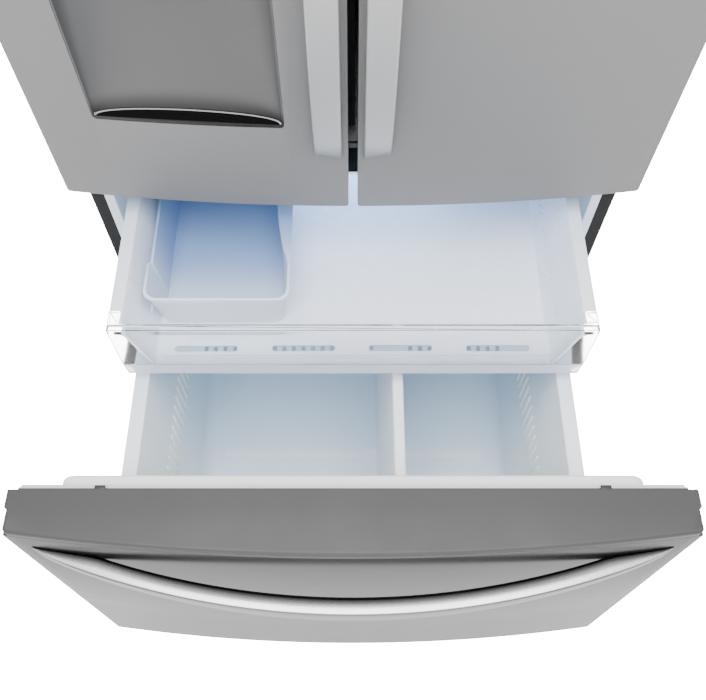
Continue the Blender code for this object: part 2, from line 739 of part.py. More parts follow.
def slides():
    """Three-part telescopic slides: fixed channel, middle bar and the drawer's channel."""
    y0 = DRAWER_PLUG_BACK + DRAWER_OUT + 0.002
    middles = []
    inners = []
    for side, word in ((-1, "left"), (1, "right")):
        channel = [(side * x, SLIDE_Z + z) for x, z in
                   ((INNER_X - FIT, -0.0175), (INNER_X - FIT, 0.0175), (0.3995, 0.0175),
                    (0.3995, 0.0150), (INNER_X - SKIN, 0.0150), (INNER_X - SKIN, -0.0150),
                    (0.3995, -0.0150), (0.3995, -0.0175))]
        outer = prism(f"rail_outer_{word}", channel, "Y", y0, y0 + SLIDE_LENGTH)
        x0, x1 = sided(side, 0.3865, INNER_X - SKIN - FIT)
        middle = box(f"rail_middle_{word}", (x0, y0 - DRAWER_OUT / 2, SLIDE_Z - 0.0145),
                     (x1, y0 - DRAWER_OUT / 2 + SLIDE_LENGTH, SLIDE_Z + 0.0145))
        bracket = [(side * x, z) for x, z in
                   ((0.3990, SLIDE_Z + 0.0175), (0.3835, SLIDE_Z + 0.0175), (0.3835, 0.1954),
                    (0.3300, 0.1954), (0.3300, 0.1925), (0.3860, 0.1925), (0.3860, SLIDE_Z - 0.0175),
                    (0.3990, SLIDE_Z - 0.0175), (0.3990, SLIDE_Z - 0.0150),
                    (0.3862, SLIDE_Z - 0.0150), (0.3862, SLIDE_Z + 0.0150),
                    (0.3990, SLIDE_Z + 0.0150))]
        start = DRAWER_PLUG_BACK + FIT
        inner = prism(f"rail_inner_{word}", bracket, "Y", start, start + 0.440)
        finish([outer, middle, inner], ZINC, 0.3, 0.9)
        middles.append(middle)
        inners.append(inner)
    hang("rail_middles_slide", (0, y0 - DRAWER_OUT / 2, SLIDE_Z), middles)
    return inners


def drawer_liner():
    lip = SKIN + FIT
    liner = box("drawer_liner", (-HALF + lip, DRAWER_BACK - 0.004, DRAWER_LOW + lip),
                (HALF - lip, DRAWER_BACK, DRAWER_HIGH - lip))
    plug = prism("plug", rounded(-PLUG_X, PLUG_X, PLUG_LOW, PLUG_HIGH, 0.022, 4), "Y",
                 DRAWER_BACK - 0.003, DRAWER_PLUG_BACK)
    hollow = prism("plug_hollow", rounded(-PLUG_X + LINER, PLUG_X - LINER, PLUG_LOW + LINER,
                                          PLUG_HIGH - LINER, 0.018, 4), "Y", -1,
                   DRAWER_PLUG_BACK - LINER)
    fuse(liner, plug)
    cut(liner, hollow)
    finish([liner], WHITE, 0.35)
    return liner


def drawer_handle():
    """A bowed bar, rounded along its upper back edge, that runs out to a point at both ends."""
    steps = 32
    rings = []
    for i in range(steps + 1):
        rise = sin(pi * i / steps)
        x = DRAWER_HANDLE_X * (2 * i / steps - 1)
        face = DOOR_FRONT - DRAWER_OUT - bow(x) - FIT
        front = face - 0.0012 - (HANDLE_OUT - 0.0012 - FIT) * rise ** 0.75
        back = min(face, front + DRAWER_HANDLE_DEPTH)
        height = 0.012 + (DRAWER_HANDLE_HEIGHT - 0.012) * rise ** 0.5
        low = DRAWER_HANDLE_TOP - height
        radius = 0.45 * min(back - front, height)
        ring = [(x, back, low), (x, front, low), (x, front, DRAWER_HANDLE_TOP - radius * 0.4),
                (x, front + radius * 0.4, DRAWER_HANDLE_TOP)]
        for turn in (0, pi / 6, pi / 3, pi / 2):
            ring.append((x, back - radius + radius * sin(turn),
                         DRAWER_HANDLE_TOP - radius + radius * cos(turn)))
        rings.append(ring)
    bar = smooth(loft("drawer_handle", rings), 40)
    finish([bar], ZINC, 0.25, 0.95)
    return bar


def lower_bin():
    y0 = DRAWER_PLUG_BACK + 0.004
    y1 = y0 + 0.434
    wall = 0.004
    levels = []
    for x, front, back, z, radius in ((0.300, 0.014, 0.022, BIN_FLOOR - 0.004, 0.030),
                                      (0.335, 0.004, 0.008, BIN_RIM - 0.012, 0.024),
                                      (0.355, 0, 0, BIN_RIM - 0.012, 0.022),
                                      (0.355, 0, 0, BIN_RIM, 0.022),
                                      (0.335 - wall, 0.004 + wall, 0.008 + wall, BIN_RIM, 0.020),
                                      (0.300 - wall, 0.014 + wall, 0.022 + wall, BIN_FLOOR, 0.026)):
        levels.append((-x, x, y0 + front, y1 - back, z, radius))
    tray = tub("lower_bin", levels, 4)
    finish([tray], PALE, 0.35)
    return tray


def bin_divider():
    y0 = DRAWER_PLUG_BACK + 0.004
    y1 = y0 + 0.434
    low = [(0.048, y0 + 0.020), (0.098, y0 + 0.020), (0.098, y1 - 0.028), (0.048, y1 - 0.028)]
    high = [(0.066, y0 + 0.010), (0.082, y0 + 0.010), (0.082, y1 - 0.014), (0.066, y1 - 0.014)]
    divider = loft("bin_divider", [[(x, y, BIN_FLOOR + 0.001) for x, y in low],
                                   [(x, y, BIN_RIM - 0.006) for x, y in high]])
    finish([divider], PALE, 0.35)
    hang("bin_divider_slide", (0.074, y0, BIN_FLOOR), [divider])


def drawer():
    front = pan("drawer_shell", -HALF, HALF, DRAWER_LOW, DRAWER_HIGH, DRAWER_OUT)
    finish([front], STEEL, 0.32, 0.85)
    gasket = seal("drawer_gasket", -HALF + 0.008, HALF - 0.008, DRAWER_LOW + 0.008,
                  DRAWER_HIGH - 0.008, DRAWER_BACK)
    items = [front, drawer_liner(), gasket, drawer_handle(), lower_bin()] + slides()
    hang("freezer_drawer_slide", (0, DRAWER_BACK, SLIDE_Z), items)
    bin_divider()


# Upper freezer tray

def tray_front():
    """The clear front: a slanted plate over a lip, a rail along the top and an arm at each end."""
    y0 = TRAY_FRONT
    wide = TRAY_RIM_X + 0.0005
    rings = []
    for x, front, back, z in ((0.3635, -0.0204, -0.0169, TRAY_RIM - 0.0990),
                              (0.3660, -0.0129, -0.0094, TRAY_RIM - 0.0850),
                              (wide, -0.0016, 0.0019, TRAY_RIM - 0.0125),
                              (wide, -0.0016, 0.0121, TRAY_RIM - 0.0120),
                              (wide, -0.0016, 0.0121, TRAY_RIM + 0.0005)):
        rings.append([(a, b, z) for a, b in rectangle(-x, x, y0 + front, y0 + back)])
    front = loft("tray_front", rings)
    for side in (-1, 1):
        fuse(front, side_box("front_arm", side, (0.3555, wide), (y0 + 0.0110, y0 + 0.0350),
                             (TRAY_RIM - 0.0055, TRAY_RIM + 0.0005)))
    return front


def tray():
    y0 = TRAY_FRONT
    y1 = TRAY_FRONT + TRAY_LENGTH
    wall = 0.004
    rim = TRAY_RIM
    floor = TRAY_FLOOR
    levels = []
    for x, front, back, z, radius in ((0.3165, -0.030, 0.030, floor - wall, 0.010),
                                      (0.3555, -0.030, 0.020, rim - 0.006, 0.010),
                                      (TRAY_RIM_X, -0.030, 0, rim - 0.006, 0.012),
                                      (TRAY_RIM_X, -0.030, 0, rim, 0.012),
                                      (0.3525, -0.026, 0.024, rim, 0.008),
                                      (0.3145, -0.026, 0.034, floor, 0.008)):
        levels.append((-x, x, y0 + front, y1 - back, z, radius))
    body = tub("tray_body", levels, 3)
    cut(body, prism("tray_mouth", [(y0 - 0.1, 0), (y0 - 0.0084, 0), (y0 - 0.0079, floor + 0.005),
                                   (y0 + 0.0031, rim - 0.0125), (y0 + 0.0126, rim - 0.0125),
                                   (y0 + 0.0126, rim + 0.010), (y0 - 0.1, rim + 0.010)],
                    "X", -1, 1))
    for side in (-1, 1):
        cut(body, side_box("arm_seat", side, (0.3552, 0.4), (y0 - 0.1, y0 + 0.0353),
                           (rim - 0.0062, rim + 0.010)))
    front = tray_front()
    finish([body], WHITE, 0.3)
    finish([front], CLEAR, 0.12)
    hang("freezer_tray_slide", (0, y0, rim), [body, front])


def ice_bin():
    y0 = TRAY_FRONT + 0.0551
    y1 = y0 + 0.300
    wall = 0.003
    levels = []
    for inset, z, radius in ((0.015, TRAY_FLOOR + FIT, 0.014), (0.003, TRAY_RIM - 0.006, 0.018),
                             (0, TRAY_RIM - 0.004, 0.020), (0, TRAY_RIM, 0.020),
                             (0.003 + wall, TRAY_RIM, 0.016),
                             (0.015 + wall, TRAY_FLOOR + wall, 0.012)):
        levels.append((ICE_X0 + inset, ICE_X1 - inset, y0 + inset, y1 - inset, z, radius))
    item = tub("ice_bin", levels, 4)
    finish([item], PALE, 0.3)
    hang("ice_bin_slide", (ICE_X0, y0, TRAY_FLOOR), [item])


clear_scene()
for build in (cabinet_case, rear_panel, base_pan, rear_rollers, front_feet, toe_grille, centre_rail,
              fridge_liner, freezer_liner, fridge_duct_panel, freezer_duct_panel, glass_shelves,
              crispers, compressor, condenser_coil, condenser_fan, machine_cover, power_inlet,
              hinges, doors, drawer, tray, ice_bin):
    build()
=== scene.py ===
from math import cos, pi, radians, sin, sqrt

import bmesh
import bpy
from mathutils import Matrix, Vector


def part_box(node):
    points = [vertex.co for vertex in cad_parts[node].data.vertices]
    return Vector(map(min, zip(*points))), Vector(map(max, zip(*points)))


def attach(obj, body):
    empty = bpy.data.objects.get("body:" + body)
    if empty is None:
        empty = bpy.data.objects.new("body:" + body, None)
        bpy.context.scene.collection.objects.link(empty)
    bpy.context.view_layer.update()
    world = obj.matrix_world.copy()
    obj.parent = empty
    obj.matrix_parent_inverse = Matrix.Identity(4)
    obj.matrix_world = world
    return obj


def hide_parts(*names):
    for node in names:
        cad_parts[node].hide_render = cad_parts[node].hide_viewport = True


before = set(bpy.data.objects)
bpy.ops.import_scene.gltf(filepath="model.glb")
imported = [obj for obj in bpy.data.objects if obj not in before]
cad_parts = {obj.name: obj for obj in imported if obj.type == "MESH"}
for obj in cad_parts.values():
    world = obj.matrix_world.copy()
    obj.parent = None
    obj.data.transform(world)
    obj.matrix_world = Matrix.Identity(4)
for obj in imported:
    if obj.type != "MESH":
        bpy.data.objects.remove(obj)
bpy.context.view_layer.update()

# Places taken from the frame
RIGHT_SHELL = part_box("right_door_shell")
DRAWER_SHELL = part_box("drawer_shell")
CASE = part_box("cabinet_case")
HALF = RIGHT_SHELL[1][0]
DOOR_BACK = RIGHT_SHELL[1][1]
DRAWER_BACK = DRAWER_SHELL[1][1]
DOOR_GAP = RIGHT_SHELL[0][0]
FACE = CASE[0][1]

# Sizes shared with the CAD
BOW = 0.0305
FRONT_RADIUS = (HALF ** 2 + BOW ** 2) / (2 * BOW)
DOOR_CORNER = RIGHT_SHELL[0][1] + BOW
DRAWER_OUT = DOOR_BACK - DRAWER_BACK
HINGE_X = 0.434
HINGE_Y = -0.0618
SKIN = 0.0015
FIT = 0.0003
WELL_X0 = -0.3665
WELL_X1 = -0.0955
WELL_LOW = 0.891
WELL_TOP = 1.240
WELL_HIGH = 1.420
WELL_CORNER = 0.007
WELL_MIDDLE = (WELL_X0 + WELL_X1) / 2
CAP_HALF = 0.4505
CAP_SEAM = 0.7010
CAP_TOP = DRAWER_SHELL[1][2]
PLUG_HALF = 0.404
CLIP_X = (-0.3406, -0.3262)
TIP = 0.0012
GRIP_DEPTH = 0.0265
GRIP_OUT = 0.0625
HANDLE_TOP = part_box("drawer_handle")[1][2]
HANDLE_THICK = 0.020
BIN_FLOOR = 0.200
BIN_LIP = 0.012
TRAY_FRONT = FACE - 0.2996
RAIL_DROP = 0.0125
TRAY_RIM = 0.675
TRAY_FLOOR = 0.585
VENT_Y = -0.2875
VENT_PITCH = 0.0153
VENT_LENGTH = 0.1016
VENT_HALF = 0.0062

# Floor vents: left ends, and the middles of the windows cut through each
FLOOR_VENTS = ((-0.2867, [-0.1896 - VENT_PITCH * i for i in range(4)]),
               (-0.1300, [-0.1255 + VENT_PITCH * i for i in range(7)]),
               (0.0249, [0.0294] + [0.1226 - VENT_PITCH * i for i in range(3)]),
               (0.1808, [0.1853 + VENT_PITCH * i for i in range(4)]))
# Vents in the right wall of the tray: places along and up
WALL_VENTS = ((-0.0143, 0.6100), (-0.0284, 0.6105), (-0.0441, 0.6110),
              (-0.0828, 0.6107), (-0.0985, 0.6115), (-0.1135, 0.6116),
              (-0.1524, 0.6135), (-0.1687, 0.6131), (-0.1840, 0.6125),
              (-0.2242, 0.6130), (-0.2396, 0.6134), (-0.2531, 0.6135))
# How far the ice bin's right rim has widened at each place along it
ICE_CURVE = ((-0.192, 0.0010), (-0.180, 0.0035), (-0.165, 0.0085), (-0.146, 0.0125),
             (-0.125, 0.0160), (-0.100, 0.0195), (-0.075, 0.0215))

# Camera
EYE = (0.0, -0.9516, 1.7606)
EYE_PITCH = 61.02
EYE_LENS = 42.48


def corners(node):
    """The lowest and highest corners of a CAD node."""
    return [Vector(corner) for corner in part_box(node)]


def bow(x):
    """How far the bowed front stands ahead of its outer corners at x."""
    return sqrt(FRONT_RADIUS ** 2 - x ** 2) - sqrt(FRONT_RADIUS ** 2 - HALF ** 2)


# Modelling by hand

def deselect():
    if bpy.context.mode != "OBJECT":
        bpy.ops.object.mode_set(mode="OBJECT")
    bpy.ops.object.select_all(action="DESELECT")


def only(piece):
    deselect()
    piece.select_set(True)
    bpy.context.view_layer.objects.active = piece


class shaping:
    """Edit mode on one piece, started with nothing selected."""

    def __init__(self, piece):
        self.piece = piece

    def __enter__(self):
        only(self.piece)
        bpy.ops.object.mode_set(mode="EDIT")
        bpy.ops.mesh.select_mode(type="FACE")
        bpy.ops.mesh.select_all(action="DESELECT")
        return self.piece

    def __exit__(self, *error):
        bpy.ops.object.mode_set(mode="OBJECT")


def settle(piece, name):
    """Names a new piece and puts its place into its mesh."""
    piece.name = name
    piece.data.name = name
    only(piece)
    bpy.ops.object.transform_apply(location=True, rotation=True, scale=True)
    return piece


def block(name, low, high):
    deselect()
    middle = [(a + b) / 2 for a, b in zip(low, high)]
    size = [b - a for a, b in zip(low, high)]
    bpy.ops.mesh.primitive_cube_add(size=1, location=middle, scale=size)
    return settle(bpy.context.object, name)


def rod(name, centre, radius, length, axis="Z", sides=32):
    deselect()
    turn = {"X": (0, pi / 2, 0), "Y": (pi / 2, 0, 0), "Z": (0, 0, 0)}[axis]
    bpy.ops.mesh.primitive_cylinder_add(vertices=sides, radius=radius, depth=length,
                                        location=centre, rotation=turn)
    return settle(bpy.context.object, name)


def pick_faces(piece, test):
    """Selects the faces whose middle and normal a test accepts."""
    bpy.ops.mesh.select_mode(type="FACE")
    bpy.ops.mesh.select_all(action="DESELECT")
    bm = bmesh.from_edit_mesh(piece.data)
    for face in bm.faces:
        face.select_set(test(face.calc_center_median(), face.normal))
    bmesh.update_edit_mesh(piece.data)


def pick_edges(piece, test):
    """Selects the edges whose middle and direction a test accepts."""
    bpy.ops.mesh.select_mode(type="EDGE")
    bpy.ops.mesh.select_all(action="DESELECT")
    bm = bmesh.from_edit_mesh(piece.data)
    for edge in bm.edges:
        start, end = (vert.co for vert in edge.verts)
        edge.select_set(test((start + end) / 2, (end - start).normalized()))
    bmesh.update_edit_mesh(piece.data)


def shift(piece, test, move):
    """Moves the vertices a test accepts."""
    with shaping(piece):
        pick_verts(piece, test)
        bpy.ops.transform.translate(value=move)
    return piece


def slice_off(point, outward):
    """Cuts away what lies beyond a plane, and closes the cut."""
    bpy.ops.mesh.select_all(action="SELECT")
    bpy.ops.mesh.bisect(plane_co=point, plane_no=outward, use_fill=True, clear_outer=True)


def round_edges(piece, test, width, segments=4):
    with shaping(piece):
        pick_edges(piece, test)
        bpy.ops.mesh.bevel(offset=width, segments=segments, affect="EDGES")
    return piece


def soften(piece, width, segments=3, angle=40):
    """Rounds every sharp edge of a finished shape."""
    only(piece)
    change = piece.modifiers.new("soften", "BEVEL")
    change.width = width
    change.segments = segments
    change.limit_method = "ANGLE"
    change.angle_limit = radians(angle)
    bpy.ops.object.modifier_apply(modifier=change.name)
    return smooth(piece)


def smooth(piece, angle=35):
    only(piece)
    bpy.ops.object.shade_smooth_by_angle(angle=radians(angle))
    return piece


def carve(piece, cutter, operation="DIFFERENCE"):
    only(piece)
    change = piece.modifiers.new("carve", "BOOLEAN")
    change.operation = operation
    change.object = cutter
    bpy.ops.object.modifier_apply(modifier=change.name)
    bpy.data.objects.remove(cutter, do_unlink=True)
    return piece


def joined(name, pieces):
    deselect()
    for piece in pieces:
        piece.select_set(True)
    bpy.context.view_layer.objects.active = pieces[0]
    bpy.ops.object.join()
    return settle(pieces[0], name)


def copied(piece, name, move):
    """A copy with its own mesh, moved."""
    only(piece)
    bpy.ops.object.duplicate(linked=False)
    copy = bpy.context.object
    copy.location = move
    return settle(copy, name)


def set_out(piece, moves):
    """Copies of one modelled piece, one at each move; the first model is not kept."""
    copies = [copied(piece, piece.name, move) for move in moves]
    bpy.data.objects.remove(piece, do_unlink=True)
    return copies


def mirrored(piece, name):
    """The same piece for the other side, with its faces turned out again."""
    only(piece)
    bpy.ops.object.duplicate(linked=False)
    copy = bpy.context.object
    copy.scale = (-1, 1, 1)
    settle(copy, name)
    with shaping(copy):
        bpy.ops.mesh.select_all(action="SELECT")
        bpy.ops.mesh.normals_make_consistent(inside=False)
    return copy


def vertical(middle, direction):
    return abs(direction.z) > 0.8


def drawn(name, stations, corner, segments=6):
    """A container drawn up from its base: each station is (x0, x1, y0, y1, z), the rectangle
    that its edge is taken to next, over the rim and down to the inner floor."""
    x0, x1, y0, y1, z = stations[0]
    piece = block(name, (x0, y0, z), (x1, y1, stations[1][4]))
    with shaping(piece):
        pick_faces(piece, lambda middle, normal: normal.z > 0.9)
        fit(stations[0], stations[1], 0)
    round_edges(piece, vertical, corner, segments)
    with shaping(piece):
        pick_faces(piece, lambda middle, normal: normal.z > 0.9)
        for before, after in zip(stations[1:], stations[2:]):
            bpy.ops.mesh.extrude_region_move(TRANSFORM_OT_translate={"value": (0, 0, 0)})
            fit(before, after, after[4] - before[4])
    return piece


def fit(before, after, rise):
    """Takes the selected rectangle from one station's outline to the next one's."""
    ax0, ax1, ay0, ay1 = before[:4]
    bx0, bx1, by0, by1 = after[:4]
    middle = ((ax0 + ax1) / 2, (ay0 + ay1) / 2, before[4])
    bpy.ops.transform.resize(value=((bx1 - bx0) / (ax1 - ax0), (by1 - by0) / (ay1 - ay0), 1),
                             center_override=middle)
    bpy.ops.transform.translate(value=((bx0 + bx1 - ax0 - ax1) / 2, (by0 + by1 - ay0 - ay1) / 2,
                                       rise))


def bowed_block(name, x0, x1, back, z0, z1, forward=0.0, inset=0.0):
    """A block with a flat back and the bowed front, cut from one large cylinder."""
    centre = DOOR_CORNER - forward + sqrt(FRONT_RADIUS ** 2 - HALF ** 2)
    piece = rod(name, (0, centre, (z0 + z1) / 2), FRONT_RADIUS - inset, z1 - z0, sides=1024)
    with shaping(piece):
        slice_off((x0, 0, 0), (-1, 0, 0))
        slice_off((x1, 0, 0), (1, 0, 0))
        slice_off((0, back, 0), (0, 1, 0))
    return piece


def pick_verts(piece, test):
    """Selects the vertices whose place a test accepts."""
    bpy.ops.mesh.select_mode(type="VERT")
    bpy.ops.mesh.select_all(action="DESELECT")
    bm = bmesh.from_edit_mesh(piece.data)
    for vert in bm.verts:
        vert.select_set(test(vert.co))
    bm.select_flush_mode()
    bmesh.update_edit_mesh(piece.data)


def levels_of(piece, axis):
    """The places along an axis at which a piece in edit mode has vertices, to 0.1 mm."""
    return sorted({round(vert.co[axis], 4) for vert in bmesh.from_edit_mesh(piece.data).verts})


def cut_across(piece, axis, places):
    """Adds a ring of edges at each place along an axis."""
    outward = [0, 0, 0]
    outward[axis] = 1
    with shaping(piece):
        for place in places:
            point = [0, 0, 0]
            point[axis] = place
            bpy.ops.mesh.select_all(action="SELECT")
            bpy.ops.mesh.bisect(plane_co=point, plane_no=outward)


def shape_along(piece, axis, places, change):
    """Sizes and shifts the ring at each place. change gives the point that stays, the three
    sizes and the move. The first and last places are the two ends of the piece."""
    cut_across(piece, axis, places[1:-1])
    with shaping(piece):
        for place in places:
            pick_verts(piece, lambda spot: abs(spot[axis] - place) < 0.0003)
            centre, size, move = change(place)
            bpy.ops.transform.resize(value=size, center_override=centre)
            bpy.ops.transform.translate(value=move)
    return piece


def along(axis):
    """A test for edges that run along an axis."""
    return lambda middle, direction: abs(direction[axis]) > 0.9


def facing(axis, way):
    """A test for faces that look along an axis."""
    return lambda middle, normal: normal[axis] * way > 0.9


def push_in(piece, test, border, depth):
    """Insets the faces a test accepts and pushes what is inside the border along depth."""
    with shaping(piece):
        pick_faces(piece, test)
        bpy.ops.mesh.inset(thickness=border)
        bpy.ops.mesh.extrude_region_move(TRANSFORM_OT_translate={"value": depth})
    return piece


# Materials

def node_of(tree, kind, **settings):
    node = tree.nodes.new(kind)
    for key, value in settings.items():
        setattr(node, key, value)
    return node


def fill(node, values):
    """Sets the constants on a node's sockets."""
    for key, value in values.items():
        node.inputs[key].default_value = value


def new_group(name, inputs, outputs):
    """A shader node group with named sockets: (name, kind, default) and (name, kind)."""
    group = bpy.data.node_groups.new(name, "ShaderNodeTree")
    for label, kind, default in inputs:
        socket = group.interface.new_socket(label, in_out="INPUT", socket_type=kind)
        if default is not None:
            socket.default_value = default
    for label, kind in outputs:
        group.interface.new_socket(label, in_out="OUTPUT", socket_type=kind)
    return group, group.nodes.new("NodeGroupInput"), group.nodes.new("NodeGroupOutput")


def tint(group, tone, pattern, mean, amount, out):
    """Lightens and darkens a tone by an amount of a pattern, around the pattern's mean."""
    centred = node_of(group, "ShaderNodeMath", operation="SUBTRACT")
    centred.inputs[1].default_value = mean
    scaled = node_of(group, "ShaderNodeMath", operation="MULTIPLY_ADD")
    scaled.inputs[2].default_value = 1.0
    product = node_of(group, "ShaderNodeVectorMath", operation="SCALE")
    group.links.new(pattern, centred.inputs[0])
    group.links.new(centred.outputs[0], scaled.inputs[0])
    group.links.new(amount, scaled.inputs[1])
    group.links.new(tone, product.inputs[0])
    group.links.new(scaled.outputs[0], product.inputs["Scale"])
    group.links.new(product.outputs[0], out.inputs["Color"])


def make_brushed_lines():
    """Long fine scratches along one axis, with a slower cloudiness between them."""
    group, given, out = new_group(
        "brushed lines",
        [("Vector", "NodeSocketVector", None), ("Contrast", "NodeSocketFloat", 0.08),
         ("Tone", "NodeSocketColor", (0.4, 0.4, 0.4, 1))],
        [("Color", "NodeSocketColor"), ("Rough Mask", "NodeSocketFloat"),
         ("Height", "NodeSocketFloat")])
    link = group.links.new
    fine = node_of(group, "ShaderNodeTexNoise")
    fill(fine, {"Scale": 1.0, "Detail": 3.0, "Roughness": 0.7})
    cloud = node_of(group, "ShaderNodeTexNoise")
    fill(cloud, {"Scale": 0.02, "Detail": 2.0})
    link(given.outputs["Vector"], fine.inputs["Vector"])
    link(given.outputs["Vector"], cloud.inputs["Vector"])
    blend = node_of(group, "ShaderNodeMath", operation="MULTIPLY_ADD")
    link(cloud.outputs["Fac"], blend.inputs[0])
    blend.inputs[1].default_value = 0.35
    link(fine.outputs["Fac"], blend.inputs[2])
    tint(group, given.outputs["Tone"], blend.outputs[0], 0.675, given.outputs["Contrast"], out)
    link(fine.outputs["Fac"], out.inputs["Rough Mask"])
    link(fine.outputs["Fac"], out.inputs["Height"])
    return group


def make_moulded_skin():
    """The faint pebble and cloudiness of moulded plastic, deepening from one tone to another."""
    group, given, out = new_group(
        "moulded skin",
        [("Vector", "NodeSocketVector", None), ("Near Tone", "NodeSocketColor", (0.8, 0.8, 0.8, 1)),
         ("Far Tone", "NodeSocketColor", (0.8, 0.8, 0.8, 1)), ("Depth", "NodeSocketFloat", 0.0),
         ("Pebble Scale", "NodeSocketFloat", 900.0), ("Cloud", "NodeSocketFloat", 0.04)],
        [("Color", "NodeSocketColor"), ("Cloud Mask", "NodeSocketFloat"),
         ("Height", "NodeSocketFloat")])
    link = group.links.new
    pebble = node_of(group, "ShaderNodeTexNoise")
    pebble.inputs["Detail"].default_value = 2.0
    link(given.outputs["Vector"], pebble.inputs["Vector"])
    link(given.outputs["Pebble Scale"], pebble.inputs["Scale"])
    cloud = node_of(group, "ShaderNodeTexNoise")
    fill(cloud, {"Scale": 9.0, "Detail": 3.0})
    link(given.outputs["Vector"], cloud.inputs["Vector"])
    mixed = node_of(group, "ShaderNodeMix", data_type="RGBA", clamp_factor=True)
    link(given.outputs["Depth"], mixed.inputs["Factor"])
    link(given.outputs["Near Tone"], mixed.inputs["A"])
    link(given.outputs["Far Tone"], mixed.inputs["B"])
    tint(group, mixed.outputs["Result"], cloud.outputs["Fac"], 0.5, given.outputs["Cloud"], out)
    link(cloud.outputs["Fac"], out.inputs["Cloud Mask"])
    link(pebble.outputs["Fac"], out.inputs["Height"])
    return group


def make_even_range():
    """Turns a mask of 0 to 1 into a value between two limits, for roughness."""
    group, given, out = new_group(
        "even range",
        [("Mask", "NodeSocketFloat", 0.5), ("Low", "NodeSocketFloat", 0.3),
         ("High", "NodeSocketFloat", 0.4)],
        [("Value", "NodeSocketFloat")])
    spread = node_of(group, "ShaderNodeMapRange")
    fill(spread, {"From Min": 0.3, "From Max": 0.7})
    group.links.new(given.outputs["Mask"], spread.inputs["Value"])
    group.links.new(given.outputs["Low"], spread.inputs["To Min"])
    group.links.new(given.outputs["High"], spread.inputs["To Max"])
    group.links.new(spread.outputs["Result"], out.inputs["Value"])
    return group


BRUSHED_LINES = make_brushed_lines()
MOULDED_SKIN = make_moulded_skin()
EVEN_RANGE = make_even_range()


def bare(name):
    """A new material with its tree, its shader and its object coordinates."""
    material = bpy.data.materials.new(name)
    material.use_nodes = True
    tree = material.node_tree
    shader = tree.nodes["Principled BSDF"]
    coordinates = node_of(tree, "ShaderNodeTexCoord")
    return material, tree, shader, coordinates.outputs["Object"]


def placed_group(tree, group):
    node = tree.nodes.new("ShaderNodeGroup")
    node.node_tree = group
    return node


def bump(tree, height, shader, strength, distance):
    node = node_of(tree, "ShaderNodeBump")
    fill(node, {"Strength": strength, "Distance": distance})
    tree.links.new(height, node.inputs["Height"])
    tree.links.new(node.outputs["Normal"], shader.inputs["Normal"])


def rough(tree, mask, shader, low, high):
    node = placed_group(tree, EVEN_RANGE)
    fill(node, {"Low": low, "High": high})
    tree.links.new(mask, node.inputs["Mask"])
    tree.links.new(node.outputs["Value"], shader.inputs["Roughness"])


def by_depth(tree, place, depth):
    """A mask that goes from 0 to 1 along an axis. depth is (axis, start, end)."""
    axis, start, end = depth
    parts = node_of(tree, "ShaderNodeSeparateXYZ")
    spread = node_of(tree, "ShaderNodeMapRange", interpolation_type="SMOOTHSTEP")
    fill(spread, {"From Min": start, "From Max": end})
    tree.links.new(place, parts.inputs[0])
    tree.links.new(parts.outputs[axis], spread.inputs["Value"])
    return spread.outputs["Result"]


def brushed_metal(name, tone, grain, low, high, metallic=0.9, contrast=0.10, dent=0.00002,
                  far=None, depth=None):
    """Brushed metal: grain is how fast the scratches change along X, Y and Z."""
    material, tree, shader, place = bare(name)
    stretch = node_of(tree, "ShaderNodeMapping")
    stretch.inputs["Scale"].default_value = grain
    tree.links.new(place, stretch.inputs["Vector"])
    lines = placed_group(tree, BRUSHED_LINES)
    fill(lines, {"Tone": (*tone, 1), "Contrast": contrast})
    tree.links.new(stretch.outputs["Vector"], lines.inputs["Vector"])
    if depth:
        shade = node_of(tree, "ShaderNodeMix", data_type="RGBA")
        fill(shade, {"A": (*tone, 1), "B": (*far, 1)})
        tree.links.new(by_depth(tree, place, depth), shade.inputs["Factor"])
        tree.links.new(shade.outputs["Result"], lines.inputs["Tone"])
    tree.links.new(lines.outputs["Color"], shader.inputs["Base Color"])
    shader.inputs["Metallic"].default_value = metallic
    rough(tree, lines.outputs["Rough Mask"], shader, low, high)
    bump(tree, lines.outputs["Height"], shader, 0.25, dent)
    return material


def plastic(name, near, low, high, far=None, depth=None, pebble=900, dent=0.00003, cloud=0.04,
            metallic=0.0):
    """Moulded plastic. depth is (axis, start, end): the tone goes from near to far along it."""
    material, tree, shader, place = bare(name)
    skin = placed_group(tree, MOULDED_SKIN)
    fill(skin, {"Near Tone": (*near, 1), "Far Tone": (*(far or near), 1), "Pebble Scale": pebble,
                "Cloud": cloud})
    tree.links.new(place, skin.inputs["Vector"])
    if depth:
        tree.links.new(by_depth(tree, place, depth), skin.inputs["Depth"])
    tree.links.new(skin.outputs["Color"], shader.inputs["Base Color"])
    shader.inputs["Metallic"].default_value = metallic
    rough(tree, skin.outputs["Cloud Mask"], shader, low, high)
    bump(tree, skin.outputs["Height"], shader, 0.2, dent)
    return material


def clear_plastic(name, tone, low, high, ior=1.46, transmission=1.0):
    material = plastic(name, tone, low, high, pebble=140, dent=0.00002, cloud=0.02)
    shader = material.node_tree.nodes["Principled BSDF"]
    fill(shader, {"Transmission Weight": transmission, "IOR": ior})
    return material


